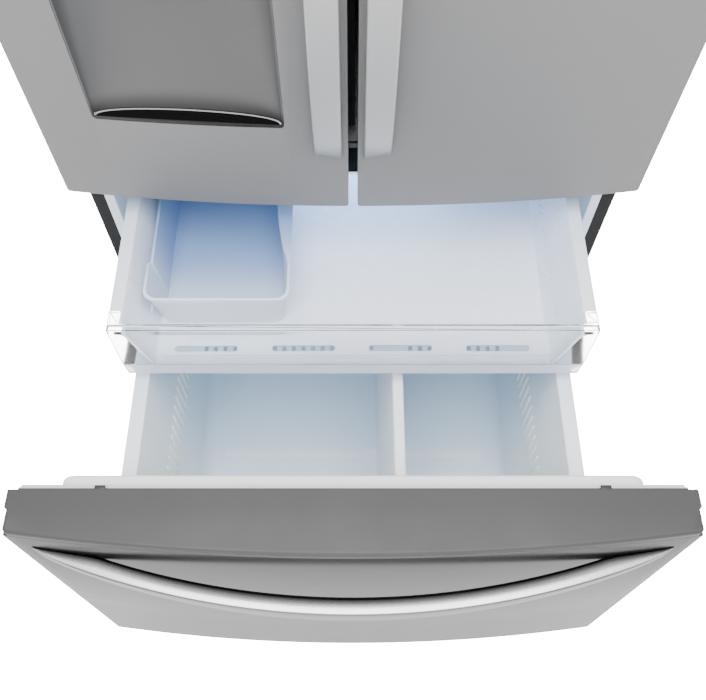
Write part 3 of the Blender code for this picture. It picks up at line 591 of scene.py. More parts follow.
STAINLESS = brushed_metal("brushed stainless", (0.185, 0.185, 0.187), (6, 6, 900), 0.50, 0.62,
                          metallic=0.12, contrast=0.16)
# The drawer front's steel is a darker copy of the door steel: painted shade.
DRAWER_STEEL_PAINTED_SHADE = brushed_metal("brushed drawer steel, painted darker shade", (0.066, 0.066, 0.067), (6, 6, 900), 0.26, 0.36,
                            metallic=0.80)
STEP_BLACK = plastic("black step", (0.002, 0.002, 0.002), 0.8, 0.9)
STEP_BLACK.node_tree.nodes["Principled BSDF"].inputs["Specular IOR Level"].default_value = 0.1
# The drawer handle's metal goes to near-black below its top edge: a painted dark reflection on its
# rounded back.
HANDLE_METAL_PAINTED_REFLECTION = brushed_metal("satin handle metal, painted dark reflection", (0.56, 0.56, 0.57), (8, 8, 700), 0.22, 0.32,
                             contrast=0.05, far=(0.004, 0.004, 0.004),
                             depth=("Z", HANDLE_TOP - 0.0002, HANDLE_TOP - 0.0056))
# A darker copy of the handle metal for faces that look forward and down: painted shade.
HANDLE_PAINTED_SHADE_FACE = brushed_metal("satin handle face, painted shade", (0.16, 0.16, 0.162), (8, 8, 700), 0.26, 0.36,
                            contrast=0.05)
# The upright handles darken towards their lower ends, where the bar curves back to the door: painted
# shade.
UPRIGHT_METAL_PAINTED_SHADE = brushed_metal("satin upright handle, painted shade low down", (0.44, 0.44, 0.445), (700, 700, 8), 0.40,
                              0.50, contrast=0.06, far=(0.24, 0.24, 0.242), depth=("Z", 0.89, 0.845),
                              metallic=0.5)
CAP_GREY = plastic("painted end cap", (0.040, 0.040, 0.0405), 0.42, 0.54)
CASE_PAINT = plastic("charcoal case paint", (0.018, 0.0183, 0.019), 0.7, 0.8)
CASE_PAINT.node_tree.nodes["Principled BSDF"].inputs["Specular IOR Level"].default_value = 0.2
# The fresh food liner is near-black for its first few millimetres at the front and white further in:
# painted shade in the gap between the doors.
LINER_PAINTED_GAP_SHADE = plastic("liner, front edge painted dark as gap shade", (0.008, 0.008, 0.009), 0.30, 0.40,
                        far=(0.84, 0.845, 0.87), depth=("Y", FACE + 0.0040, FACE + 0.0046))
# The drip tray rails are pale grey: a painted highlight along the tray's curve.
RAIL_PAINTED_HIGHLIGHT = plastic("drip rail, painted highlight", (0.42, 0.42, 0.42), 0.3, 0.4)
GALVANISED = plastic("galvanised sheet", (0.42, 0.43, 0.44), 0.35, 0.55, metallic=0.85, pebble=60,
                     cloud=0.5)
SLIDE_METAL = brushed_metal("zinc plated slide", (0.55, 0.56, 0.58), (700, 8, 700), 0.22, 0.34)
LINER_WHITE = plastic("liner white", (0.93, 0.935, 0.96), 0.30, 0.40)
# The freezer liner is pale blue plastic that turns deeper blue further back: the deepening is
# painted shade and painted blue light.
FREEZER_LINER_PAINTED_DEPTH_SHADE = plastic("freezer liner, painted shade deeper in", (0.80, 0.90, 1.0), 0.30, 0.40, far=(0.66, 0.80, 1.0),
                     depth=("Y", FACE, FACE + 0.3))
# The deep bin is bluish white plastic, darkening and turning bluer towards the back: the darkening
# is painted shade.
BIN_WHITE_PAINTED_DEPTH_SHADE = plastic("bin white, painted shade deeper in", (0.93, 0.98, 1.0), 0.28, 0.38, far=(0.62, 0.78, 0.93),
                    depth=("Y", -0.46, -0.22), pebble=700)
# Floor ridges and wall ribs are the bin's plastic in lighter tones than the shaded bin around them:
# painted highlight.
RIDGE_PAINTED_HIGHLIGHT = plastic("floor ridge, painted highlight", (0.80, 0.90, 0.98), 0.3, 0.4)
RIB_PAINTED_HIGHLIGHT = plastic("rib white, painted highlight", (1.0, 1.0, 1.0), 0.5, 0.6)
RIM_WHITE = plastic("rim white", (0.92, 0.93, 0.96), 0.30, 0.40)
# The freezer tray is pale blue plastic that darkens and turns bluer towards the back: painted shade.
TRAY_WHITE_PAINTED_DEPTH_SHADE = plastic("tray white, painted shade towards the back", (0.86, 0.91, 1.0), 0.22, 0.32, far=(0.70, 0.82, 1.0),
                     depth=("Y", -0.25, 0.05))
# The frosted ice bin darkens steeply to deep blue towards the back: painted shade.
ICE_BIN_PAINTED_SHADE = plastic("frosted ice bin, painted shade towards the back", (0.76, 0.83, 0.93), 0.30, 0.42, far=(0.22, 0.34, 0.60),
                    depth=("Y", -0.268, -0.10))
# A blue-grey tone for the sunk faces of the floor vent recesses: painted shade.
VENT_RECESS_PAINTED_SHADE = plastic("painted shade in vent recesses", (0.42, 0.54, 0.62), 0.4, 0.5)
CLEAR = clear_plastic("clear plastic", (0.97, 0.975, 0.985), 0.05, 0.10, ior=1.22)
CLEAR_LIP = clear_plastic("milky lip", (0.80, 0.84, 0.94), 0.10, 0.18, ior=1.3, transmission=0.45)
CLEAR_EDGE = clear_plastic("clear corner", (0.86, 0.86, 0.92), 0.10, 0.18, ior=1.3)
SHELF_GLASS = clear_plastic("shelf glass", (0.86, 0.95, 0.94), 0.02, 0.05, ior=1.5)
RUBBER = plastic("grey gasket", (0.56, 0.56, 0.57), 0.5, 0.65)
# The drawer gasket is near-black along its foot at the back and grey further forward: a painted
# shadow line between gasket and cap.
SEAL_GREY_PAINTED_SHADOW = plastic("drawer gasket, painted shadow along its foot", (0.05, 0.05, 0.05), 0.5, 0.65, far=(0.66, 0.66, 0.67),
                    depth=("Y", DRAWER_BACK + 0.0040, DRAWER_BACK + 0.0046))
TRIM_GREY = plastic("trim grey", (0.12, 0.122, 0.125), 0.42, 0.55)
# The dispenser surround is dark grey, going to near-black at the bottom of the recess: painted shade
# above the drip tray.
WELL_GREY_PAINTED_SHADE = plastic("dispenser grey, painted shade at the bottom", (0.006, 0.006, 0.006), 0.40, 0.50, far=(0.090, 0.090, 0.092),
                    depth=("Z", WELL_LOW + 0.004, WELL_LOW + 0.038))
GLOSS_BLACK = plastic("gloss black", (0.012, 0.012, 0.013), 0.08, 0.14)
SOFT_BLACK = plastic("soft black", (0.02, 0.02, 0.021), 0.45, 0.6)


def dress(piece, material):
    piece.data.materials.clear()
    piece.data.materials.append(material)
    return piece


def keep(node, material):
    """A CAD node that stays, with softened edges and a better material."""
    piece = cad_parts[node]
    dress(piece, material)
    weld = piece.modifiers.new("weld", "WELD")
    weld.merge_threshold = 0.00005
    edge = piece.modifiers.new("edge", "BEVEL")
    edge.width = 0.0012
    edge.segments = 2
    edge.limit_method = "ANGLE"
    edge.angle_limit = radians(50)
    return piece


def add(piece, body, material, slot, *nodes):
    """Puts a finished piece on its body and in its material. The slot argument is not used."""
    if material:
        dress(piece, material)
    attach(piece, body)
    if nodes:
        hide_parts(*nodes)
    return piece


# Pieces

def door_skin(side, word):
    """The bowed steel front of one door, folded back round its edges."""
    x0, x1 = (DOOR_GAP, HALF) if side > 0 else (-HALF, -DOOR_GAP)
    low, high = RIGHT_SHELL[0][2], RIGHT_SHELL[1][2]
    skin = bowed_block(f"{word}_door_skin", x0, x1, DOOR_BACK, low, high)
    round_edges(skin, along(1), 0.005, 5)
    inner = bowed_block("door hollow", x0 + SKIN, x1 - SKIN, DOOR_BACK + 0.05, low + SKIN,
                        high - SKIN, forward=-SKIN)
    carve(skin, inner)
    for z in (low, high):
        carve(skin, rod("pin hole", (side * HINGE_X, HINGE_Y, z), 0.0072, 0.03, sides=24))
    return skin


def doors():
    left = door_skin(-1, "left")
    opening = block("dispenser opening", (WELL_X0, -1, WELL_LOW),
                    (WELL_X1, DOOR_BACK - 0.01, WELL_HIGH))
    carve(left, round_edges(opening, along(1), WELL_CORNER, 6))
    add(soften(left, 0.0016, 3), "left_door", STAINLESS, "stainless", "left_door_shell")
    add(soften(door_skin(1, "right"), 0.0016, 3), "right_door", STAINLESS, "stainless",
        "right_door_shell")


def door_handles():
    """A flat bar that arches away from the door and runs back to it in a slanted tip."""
    (x0, y0, low), (x1, y1, high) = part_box("right_door_handle")
    rise = y1 - y0
    bar = block("right_handle_bar", (x0, -HANDLE_THICK, low), (x1, 0, high))
    round_edges(bar, along(2), 0.0035, 4)
    steps = 36
    places = [low + (high - low) * i / steps for i in range(steps + 1)]

    def arch(z):
        lift = (rise - TIP) * sin(pi * min(1, max(0, (z - low) / (high - low)))) ** 0.62
        out = TIP + lift
        back = max(0.0, out - HANDLE_THICK)
        return (0, 0, z), (1, (out - back) / HANDLE_THICK, 1), (0, y1 - back, 0)

    shape_along(bar, 2, places, arch)
    cut_across(bar, 0, [x0 + (x1 - x0) * i / 8 for i in range(1, 8)])
    with shaping(bar):
        columns = levels_of(bar, 0)
        for end, slant in ((low, 0.0135), (high, -0.0135)):
            for column in columns:
                pick_verts(bar, lambda spot: abs(spot.z - end) < 0.001
                           and abs(spot.x - column) < 0.0002)
                across = max(0.0, (column - x0) / (x1 - x0))
                bpy.ops.transform.translate(value=(0, 0, slant * across ** 2.2))
    smooth(bar, 40)
    other = mirrored(bar, "left_handle_bar")
    # Both bars take the handle metal with painted shade low down.
    add(bar, "right_door", UPRIGHT_METAL_PAINTED_SHADE, "handle_steel", "right_door_handle")
    add(smooth(other, 40), "left_door", UPRIGHT_METAL_PAINTED_SHADE, "handle_steel", "left_door_handle")


def dispenser():
    """The surround of the recess for ice and water, hollowed to a curved back."""
    half = (WELL_X1 - WELL_X0) / 2
    housing = bowed_block("dispenser_surround", WELL_X0 + FIT, WELL_X1 - FIT, DOOR_BACK - 0.0045,
                          WELL_LOW + FIT, WELL_HIGH - FIT, forward=-0.0008)
    round_edges(housing, along(1), WELL_CORNER - FIT, 6)
    boss = block("housing boss", (WELL_X0 + 0.001, DOOR_BACK - 0.005, 0.986),
                 (WELL_X1 - 0.001, DOOR_BACK + 0.0163, 1.261))
    carve(housing, boss, "UNION")
    front = DOOR_CORNER - bow(WELL_MIDDLE)
    reach = half - 0.0025
    hollow = rod("well hollow", (WELL_MIDDLE, front, (WELL_LOW + WELL_TOP) / 2 + 0.004), reach,
                 WELL_TOP - WELL_LOW - 0.004, sides=96)
    bottom = WELL_LOW + 0.006
    depths = ((bottom, 0.021), (bottom + 0.010, 0.026), (bottom + 0.030, 0.034),
              (bottom + 0.070, 0.046), (bottom + 0.130, 0.058), (bottom + 0.210, 0.070),
              (WELL_TOP + 0.002, 0.080))
    shift(hollow, lambda spot: spot.z > 1, (0, 0, depths[-1][0] - (WELL_TOP + 0.006)))
    cut_across(hollow, 2, [z for z, depth in depths[1:-1]])
    with shaping(hollow):
        levels = levels_of(hollow, 2)
        for level in levels:
            depth = next(d for z, d in depths if level < z + 0.004)
            pick_verts(hollow, lambda spot: abs(spot.z - level) < 0.0005)
            bpy.ops.transform.resize(value=(1, (depth + 0.001) / reach, 1),
                                     center_override=(WELL_MIDDLE, front, level))
    follow_bow(hollow)
    carve(housing, hollow)
    seat = block("panel seat", (WELL_X0 + 0.005, -1, WELL_TOP + 0.016),
                 (WELL_X1 - 0.005, DOOR_CORNER, WELL_HIGH - 0.022))
    carve(housing, seat)
    # The surround takes dark grey with painted shade going to near-black at the bottom of the
    # recess.
    add(soften(housing, 0.0006, 2), "left_door", WELL_GREY_PAINTED_SHADE, "dispenser_grey", "dispenser_housing")


def crescent(name, deep, z0, z1, half=0.1315):
    """A plate with a curved back whose front follows the bow of the door."""
    front = DOOR_CORNER - bow(WELL_MIDDLE)
    plate = rod(name, (WELL_MIDDLE, front, (z0 + z1) / 2), half, z1 - z0, sides=96)
    with shaping(plate):
        bpy.ops.mesh.select_all(action="SELECT")
        bpy.ops.transform.resize(value=(1, deep / half, 1),
                                 center_override=(WELL_MIDDLE, front, z0))
        slice_off((WELL_MIDDLE, front + 0.0002, 0), (0, -1, 0))
    follow_bow(plate)
    return plate


def follow_bow(piece):
    """Shifts each column of vertices to follow the bow of the door."""
    with shaping(piece):
        columns = levels_of(piece, 0)
        for column in columns:
            pick_verts(piece, lambda spot: abs(spot.x - column) < 0.0002)
            bpy.ops.transform.translate(value=(0, bow(WELL_MIDDLE) - bow(column), 0))


def drip_tray():
    """A black crescent step with two rails along its curve, their pale grey a painted highlight."""
    low = WELL_LOW + 0.0063
    step = crescent("drip_step", 0.0205, low, low + 0.0012)
    push_in(step, facing(2, 1), 0.0006, (0, 0, -0.0004))
    add(smooth(step), "left_door", STEP_BLACK, "dispenser_black", "drip_tray")
    for name, deep in (("drip_rail_back", 0.0206), ("drip_rail_front", 0.0145)):
        rail = crescent(name, deep, low + 0.0014, low + 0.0034)
        carve(rail, crescent("rail gap", deep - 0.0010, low, low + 0.005, 0.1290))
        add(soften(rail, 0.0002, 2), "left_door", RAIL_PAINTED_HIGHLIGHT, "dispenser_black", "drip_tray")


def drawer_front():
    """The steel drawer front, the grey cap along its top and the seal behind it."""
    low = DRAWER_SHELL[0][2]
    skin = bowed_block("drawer_skin", -HALF, HALF, DRAWER_BACK, low, CAP_SEAM, forward=DRAWER_OUT)
    round_edges(skin, lambda middle, direction: abs(direction.y) > 0.9 and middle.z < 0.2, 0.005, 5)
    inner = bowed_block("drawer hollow", -CAP_HALF - FIT, CAP_HALF + FIT, DRAWER_BACK + 0.05,
                        low + SKIN, CAP_SEAM + 0.05, forward=DRAWER_OUT - 0.0012)
    carve(skin, inner)
    # The drawer skin's steel is darker than the doors' as painted shade.
    add(soften(skin, 0.0005, 2), "drawer", DRAWER_STEEL_PAINTED_SHADE, "stainless", "drawer_shell")
    cap = bowed_block("drawer_cap", -CAP_HALF, CAP_HALF, DRAWER_BACK, CAP_SEAM - 0.010, CAP_TOP,
                      forward=DRAWER_OUT - 0.0003)
    round_edges(cap, lambda middle, direction: abs(direction.z) > 0.9
                and middle.y < DRAWER_BACK - 0.02, 0.004, 4)
    round_edges(cap, lambda middle, direction: middle.z > CAP_TOP - 0.0001
                and middle.y < DRAWER_BACK - 0.02 and abs(direction.y) < 0.9, 0.0055, 6)
    tuck = bowed_block("cap tuck", -HALF - 0.01, HALF + 0.01, DRAWER_BACK - 0.0255, CAP_SEAM - 0.02,
                       CAP_SEAM + 0.0004, forward=DRAWER_OUT + 0.01)
    core = bowed_block("cap core", -HALF - 0.02, HALF + 0.02, DRAWER_BACK + 0.01, CAP_SEAM - 0.03,
                       CAP_SEAM + 0.01, forward=DRAWER_OUT - 0.0022)
    carve(tuck, core)
    carve(cap, tuck)
    wing = block("cap wings", (-HALF, DRAWER_BACK - 0.0255, CAP_SEAM + 0.0001),
                 (HALF, DRAWER_BACK, CAP_TOP))
    round_edges(wing, along(2), 0.0015, 2)
    carve(cap, wing, "UNION")
    add(soften(cap, 0.0005, 2, 50), "drawer", CAP_GREY, "stainless", "drawer_shell")
    plate = block("drawer plate", (-CAP_HALF, DRAWER_BACK - 0.004, low + SKIN + FIT),
                  (CAP_HALF, DRAWER_BACK, CAP_SEAM - 0.0105))
    plug_low, plug_high = 0.137, 0.675
    plug = block("drawer plug", (-PLUG_HALF, DRAWER_BACK - 0.001, plug_low),
                 (PLUG_HALF, DRAWER_BACK + 0.036, plug_high))
    round_edges(plug, along(1), 0.022, 8)
    round_edges(plug, lambda middle, direction: middle.y > DRAWER_BACK + 0.035, 0.007, 4)
    push_in(plug, facing(1, 1), 0.030, (0, -0.010, 0))
    liner = joined("drawer_plug", [plug, round_edges(plate, along(1), 0.004, 3)])
    add(smooth(liner), "drawer", LINER_WHITE, "liner_white", "drawer_liner")
    # The drawer gasket carries a painted shadow line, near-black along its foot.
    seal("drawer_gasket", "drawer_seal", "drawer", SEAL_GREY_PAINTED_SHADOW)
    clip = block("seal_clip_left", (CLIP_X[0], DRAWER_BACK - 0.001, CAP_TOP - 0.003),
                 (CLIP_X[1], DRAWER_BACK + 0.0060, CAP_TOP - 0.0002))
    soften(clip, 0.0010, 2)
    add(clip, "drawer", SOFT_BLACK, "gasket_grey", "drawer_gasket")
    other = mirrored(clip, "seal_clip_right")
    add(other, "drawer", SOFT_BLACK, "gasket_grey", "drawer_gasket")


def seal(node, name, body, material):
    """A folded gasket: a flat foot with a narrower magnet ridge all the way round."""
    low, high = corners(node)
    foot_back = low.y + 0.0055
    ring = block(name, low, (high.x, foot_back, high.z))
    round_edges(ring, along(1), 0.006, 4)
    width = 0.014
    hole = block("seal hole", (low.x + width, -9, low.z + width),
                 (high.x - width, 9, high.z - width))
    carve(ring, round_edges(hole, along(1), 0.004, 3))
    push_in(ring, facing(1, 1), 0.0035, (0, high.y - foot_back, 0))
    add(soften(ring, 0.0009, 2), body, material, "gasket_grey", node)


def drawer_handle():
    """A bowed bar with a broad rounded back, running out to a point at both ends."""
    low, high = corners("drawer_handle")
    height, tip_height = high.z - low.z, 0.012
    bar = block("drawer_handle_bar", (low.x, -GRIP_DEPTH, low.z), (high.x, 0, high.z))
    round_edges(bar, lambda middle, direction: abs(direction.x) > 0.9 and middle.y > -0.001
                and middle.z > high.z - 0.001, 0.0175, 12)
    round_edges(bar, lambda middle, direction: abs(direction.x) > 0.9
                and middle.y < 0.001 - GRIP_DEPTH, 0.0030, 3)
    steps = 56
    places = [high.x * (2 * i / steps - 1) for i in range(steps + 1)]

    def swell(x):
        rise = sin(pi * min(1, max(0, (x / high.x + 1) / 2)))
        face = DOOR_CORNER - DRAWER_OUT - bow(x) - FIT
        front = face - TIP - (GRIP_OUT - TIP - FIT) * rise ** 0.75
        back = min(face, front + GRIP_DEPTH)
        tall = tip_height + (height - tip_height) * rise ** 0.5
        return (x, 0, high.z), (1, (back - front) / GRIP_DEPTH, tall / height), (0, back, 0)

    shape_along(bar, 0, places, swell)
    # The handle metal carries a painted dark reflection below its top edge.
    dress(bar, HANDLE_METAL_PAINTED_REFLECTION)
    bar.data.materials.append(HANDLE_PAINTED_SHADE_FACE)
    # Faces that look forward or down take the darker copy of the metal, as painted shade.
    for face in bar.data.polygons:
        face.material_index = 1 if face.normal.y < -0.35 or face.normal.z < -0.3 else 0
    add(smooth(bar, 40), "drawer", None, "handle_steel", "drawer_handle")


def lower_bin():
    """The deep bin: a rolled flat rim, a ribbed wall on each side and ridges across the floor."""
    low, high = corners("lower_bin")
    y0, y1, rim, floor = low.y, high.y, high.z, BIN_FLOOR
    wide, under, outer, inner, base = 0.355, 0.300, 0.335, 0.331, 0.296
    tub = drawn("deep_bin", ((-under, under, y0 + 0.014, y1 - 0.022, low.z),
                             (-outer, outer, y0 + 0.004, y1 - 0.008, rim - BIN_LIP),
                             (-wide, wide, y0, y1, rim - BIN_LIP),
                             (-wide, wide, y0, y1, rim),
                             (-inner, inner, y0 + 0.008, y1 - 0.012, rim),
                             (-base, base, y0 + 0.018, y1 - 0.026, floor)), 0.026, 6)
    with shaping(tub):
        pick_edges(tub, lambda middle, direction: abs(middle.z - floor) < 0.0005)
        bpy.ops.mesh.bevel(offset=0.026, segments=7, affect="EDGES", clamp_overlap=True)
    soften(tub, 0.0030, 3, 50)
    rib_low, rib_high, rib_pitch, rib_count = 0.357, 0.419, 0.019, 16
    rib = block("wall_rib", (0.3148, -0.4765, rib_low), (0.3176, -0.4730, rib_high))
    shift(rib, lambda spot: spot.z < rib_low + 0.02, (-0.0061, -0.0100, 0))
    soften(rib, 0.0008, 2)
    ribs = set_out(rib, [(0, rib_pitch * i, 0) for i in range(rib_count)])
    right = joined("deep_bin_ribs_right", ribs)
    left = mirrored(right, "deep_bin_ribs_left")
    ridge = block("floor_ridge", (-0.256, -0.009, floor - 0.001), (0.258, 0.009, floor + 0.0004))
    round_edges(ridge, along(2), 0.0085, 6)
    with shaping(ridge):
        pick_faces(ridge, facing(2, 1))
        bpy.ops.mesh.inset(thickness=0.005)
        bpy.ops.transform.translate(value=(0, 0, 0.0005))
    ridges = set_out(smooth(ridge, 60), [(0, y, 0) for y in (-0.4103, -0.3642, -0.3234)])
    # The bin's tone darkens towards the back as painted shade.
    add(tub, "drawer", BIN_WHITE_PAINTED_DEPTH_SHADE, "bin_white", "lower_bin")
    # Ribs and ridges take lighter tones than the bin, as painted highlight.
    for piece in (right, left, joined("deep_bin_ridges", ridges)):
        add(piece, "drawer", RIB_PAINTED_HIGHLIGHT if "ribs" in piece.name else RIDGE_PAINTED_HIGHLIGHT, "bin_white",
            "lower_bin")


def bin_divider():
    low, high = corners("bin_divider")
    wall = block("divider_wall", low, (high.x, high.y, high.z - 0.002))
    with shaping(wall):
        pick_faces(wall, facing(2, 1))
        longer = (high.y - low.y + 0.001) / (high.y - low.y)
        bpy.ops.transform.resize(value=(0.34, longer, 1), center_override=(low + high) / 2)
    round_edges(wall, vertical, 0.004, 3)
    push_in(wall, facing(2, 1), 0.0015, (0, 0, 0.002))
    add(soften(wall, 0.0012, 3), "divider", RIM_WHITE, "bin_white", "bin_divider")


def freezer_tray():
    """The shallow tray: walls that slope in to the floor, with vents cut in the floor and a wall
    and a long recess in the other wall."""
    low, high = corners("tray_body")
    y0, y1, rim, floor = TRAY_FRONT, high.y, high.z, TRAY_FLOOR
    wide, under, outer, inner, base = high.x, 0.3165, 0.3555, 0.3525, 0.3145
    tub = drawn("freezer_tray", ((-under, under, y0 - 0.030, y1 - 0.030, low.z),
                                 (-outer, outer, y0 - 0.030, y1 - 0.020, rim - 0.006),
                                 (-wide, wide, y0 - 0.030, y1, rim - 0.006),
                                 (-wide, wide, y0 - 0.030, y1, rim),
                                 (-inner, inner, y0 - 0.026, y1 - 0.024, rim),
                                 (-base, base, y0 - 0.026, y1 - 0.034, floor)), 0.010, 4)
    soften(tub, 0.0012, 2, 50)
    mouth = block("tray mouth", (-1, y0 - 0.1, 0.3), (1, y0 - 0.008, rim - RAIL_DROP))
    shape_along(mouth, 2, (0.3, floor + 0.005, rim - RAIL_DROP),
                lambda z: ((0, y0 - 0.1, z), (1, (0.1 + (0.0031 if z > rim - 0.02 else -0.0079))
                                              / 0.092, 1), (0, 0, 0)))
    carve(tub, mouth)
    groove = block("front groove", (-0.303, y0 - 0.0026, floor - 0.0022),
                   (0.303, y0 + 0.0099, floor + 0.002))
    carve(tub, round_edges(groove, along(2), 0.0015, 3))
    carve(tub, block("front seam", (-0.3135, y0 + 0.0138, floor - 0.0016),
                     (0.3135, y0 + 0.0152, floor + 0.002)))
    carve(tub, block("tray step", (-1, y0 - 0.1, rim - RAIL_DROP), (1, y0 + 0.0126, rim + 0.01)))
    for side in (-1, 1):
        carve(tub, block("arm seat", (min(side * 0.3552, side), y0 - 0.1, rim - 0.0062),
                         (max(side * 0.3552, side), y0 + 0.0353, rim + 0.01)))
    vent = block("wall vent", (0.31, -0.0062, -0.0008), (0.37, 0.0062, 0.0008))
    shift(vent, lambda spot: spot.y < 0, (0, 0, 0.0050))
    carve(tub, joined("wall vents", set_out(vent, [(0, y, z) for y, z in WALL_VENTS])))
    start, step, end, foot, top = -0.246, -0.191, 0.080, 0.5990, 0.6265
    channel = block("side channel", (-0.3344, start, foot), (-0.3280, end, top))
    shift(channel, lambda spot: spot.z < foot + 0.01, (0.0116, 0, 0))
    shape_along(channel, 1, (start, step - 0.003, step + 0.003, end),
                lambda y: ((0, y, top), (1, 1, 1), (-0.0049, 0, 0.0115) if y < step else (0, 0, 0)))
    carve(tub, channel)
    recess = block("vent recess", (0, VENT_Y - VENT_HALF, floor - 0.0014),
                   (VENT_LENGTH, VENT_Y + VENT_HALF, floor + 0.002))
    round_edges(recess, along(2), VENT_HALF - 0.0002, 6)
    carve(tub, joined("vent recesses", set_out(recess, [(x, 0, 0) for x, spots in FLOOR_VENTS])))
    window = block("vent window", (-0.0033, VENT_Y - 0.0050, low.z - 0.01),
                   (0.0033, VENT_Y + 0.0050, floor + 0.002))
    round_edges(window, along(2), 0.0008, 2)
    spots = [(spot, 0, 0) for x, spots in FLOOR_VENTS for spot in spots]
    carve(tub, joined("vent windows", set_out(window, spots)))
    # The tray's tone darkens towards the back as painted shade.
    dress(tub, TRAY_WHITE_PAINTED_DEPTH_SHADE)
    # The sunk faces of the floor vent recesses take a blue-grey painted shade.
    tub.data.materials.append(VENT_RECESS_PAINTED_SHADE)
    for face in tub.data.polygons:
        in_vent = abs(face.center.y - VENT_Y) < VENT_HALF + 0.0004 and abs(face.center.x) < 0.29
        sunk = face.center.z < floor - 0.0003 and face.normal.z > -0.5
        face.material_index = 1 if in_vent and sunk else 0
    add(tub, "tray", None, "bin_white", "tray_body")


def hinge_covers():
    """Moulded covers over the top hinges, narrower at the top and hollow underneath."""
    low, high = corners("hinge_cover_right")
    cover = block("right_hinge_cover", low, high)
    with shaping(cover):
        pick_faces(cover, facing(2, 1))
        bpy.ops.transform.resize(value=(0.84, 0.93, 1), center_override=((low + high) / 2))
    round_edges(cover, vertical, 0.009, 5)
    push_in(cover, facing(2, -1), 0.004, (0, 0, high.z - low.z - 0.007))
    soften(cover, 0.003, 3)
    other = mirrored(cover, "left_hinge_cover")
    add(cover, "cabinet", TRIM_GREY, "trim_grey", "hinge_cover_right")
    add(smooth(other), "cabinet", TRIM_GREY, "trim_grey", "hinge_cover_left")


def toe_grille():
    """A folded panel across the base with three rows of round-ended air slots."""
    low, high = corners("toe_grille")
    panel = block("toe_panel", low, high)
    round_edges(panel, along(0), 0.003, 3)
    push_in(panel, facing(1, 1), 0.003, (0, low.y - high.y + 0.003, 0))
    half_long, half_high, across, up = 0.044, 0.004, 0.104, 0.017
    slot = block("air slot", (-half_long, low.y - 0.01, -half_high),
                 (half_long, low.y + 0.01, half_high))
    round_edges(slot, along(1), half_high - 0.0001, 4)
    places = [(across * (i - 3.5), 0, 0.030 + up * row) for row in range(3) for i in range(8)]
    carve(panel, joined("air slots", set_out(slot, places)))
    add(soften(panel, 0.0006, 2), "cabinet", TRIM_GREY, "trim_grey", "toe_grille")


def clear_boxes():
    """The crispers and the door bins: open boxes that narrow to the base, with a rolled rim."""
    for node, body, name in (("crisper_left", "left_crisper", "left_crisper_box"),
                             ("crisper_right", "right_crisper", "right_crisper_box"),
                             ("right_bin_lower", "right_door", "door_bin_lower"),
                             ("right_bin_upper", "right_door", "door_bin_upper")):
        low, high = corners(node)
        x0, y0, z0, x1, y1, z1 = (*low, *high)
        stations = [(x0 + d, x1 - d, y0 + d, y1 - d, z) for d, z in
                    ((0.010, z0), (0.003, z1 - 0.008), (0, z1 - 0.008), (0, z1), (0.006, z1),
                     (0.014, z0 + 0.004))]
        box = soften(drawn(name, stations, 0.012, 5), 0.0015, 2, 50)
        add(box, body, CLEAR, "clear_plastic", node)


def tray_front():
    """The clear front: a slanted plate, a flared lip under it, a rail and two corner blocks."""
    y0, rim = TRAY_FRONT, TRAY_RIM
    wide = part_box("tray_front")[1][0]
    narrow, foot = 0.3660, 0.3635
    lip = drawn("clear_front_lip", ((-foot, foot, y0 - 0.0204, y0 - 0.0169, rim - 0.0990),
                                    (-narrow, narrow, y0 - 0.0129, y0 - 0.0094, rim - 0.0853)),
                0.0015, 3)
    for side in (-1, 1):
        shift(lip, lambda spot: spot.z < rim - 0.098 and spot.x * side > 0.360,
              (-side * 0.004, 0, 0))
    add(smooth(lip), "tray", CLEAR_LIP, "clear_plastic", "tray_front")
    front = drawn("clear_front", ((-narrow, narrow, y0 - 0.0129, y0 - 0.0094, rim - 0.0850),
                                  (-wide, wide, y0 - 0.0016, y0 + 0.0019, rim - RAIL_DROP),
                                  (-wide, wide, y0 - 0.0016, y0 + 0.0121, rim - 0.0118),
                                  (-wide, wide, y0 - 0.0016, y0 + 0.0121, rim + 0.0005)), 0.0015, 3)
    push_in(front, facing(2, 1), 0.0028, (0, 0, -0.0012))
    add(soften(front, 0.0008, 2, 30), "tray", CLEAR, "clear_plastic", "tray_front")
    arm = block("front_arm_right", (0.3557, y0 + 0.0125, rim - 0.0055),
                (wide, y0 + 0.0350, rim + 0.0005))
    round_edges(arm, along(2), 0.002, 3)
    push_in(arm, facing(2, 1), 0.0030, (0, 0, -0.0020))
    soften(arm, 0.0006, 2)
    other = mirrored(arm, "front_arm_left")
    for piece in (arm, other):
        add(piece, "tray", CLEAR_EDGE, "clear_plastic", "tray_front")


def ice_bin():
    """The ice bin: its left rim steps in part way back and its right rim widens in a curve."""
    low, high = corners("ice_bin")
    x0, x1, y0, y1, rim = low.x, high.x, low.y, high.y, high.z
    stations = [(0.015, low.z), (0.002, rim - 0.004), (0, rim - 0.004), (0, rim), (0.0040, rim),
                (0.018, TRAY_FLOOR + 0.003)]
    tub = drawn("ice_bucket", [(x0 + d, x1 - d, y0 + d, y1 - d, z) for d, z in stations], 0.018, 6)
    with shaping(tub):
        pick_verts(tub, lambda spot: spot.z < low.z + 0.001)
        bpy.ops.transform.resize(value=(1.02, 1.01, 1),
                                 center_override=((x0 + x1) / 2, (y0 + y1) / 2, 0))
    cut_across(tub, 1, [-0.194, -0.192] + [y for y, wider in ICE_CURVE])
    shift(tub, lambda spot: spot.y > -0.193 and spot.x < x0 + 0.0065 and spot.z > rim - 0.005,
          (0.0055, 0, 0))
    before = 0
    for y, wider in ICE_CURVE:
        shift(tub, lambda spot: spot.y > y - 0.0003 and spot.z > rim - 0.0005
              and x1 - 0.012 - before < spot.x < x1 - 0.003, (before - wider, 0, 0))
        before = wider
    soften(tub, 0.0012, 3, 45)
    # The ice bin's tone darkens to deep blue towards the back as painted shade.
    add(tub, "ice", ICE_BIN_PAINTED_SHADE, "ice_white", "ice_bin")


# Stage

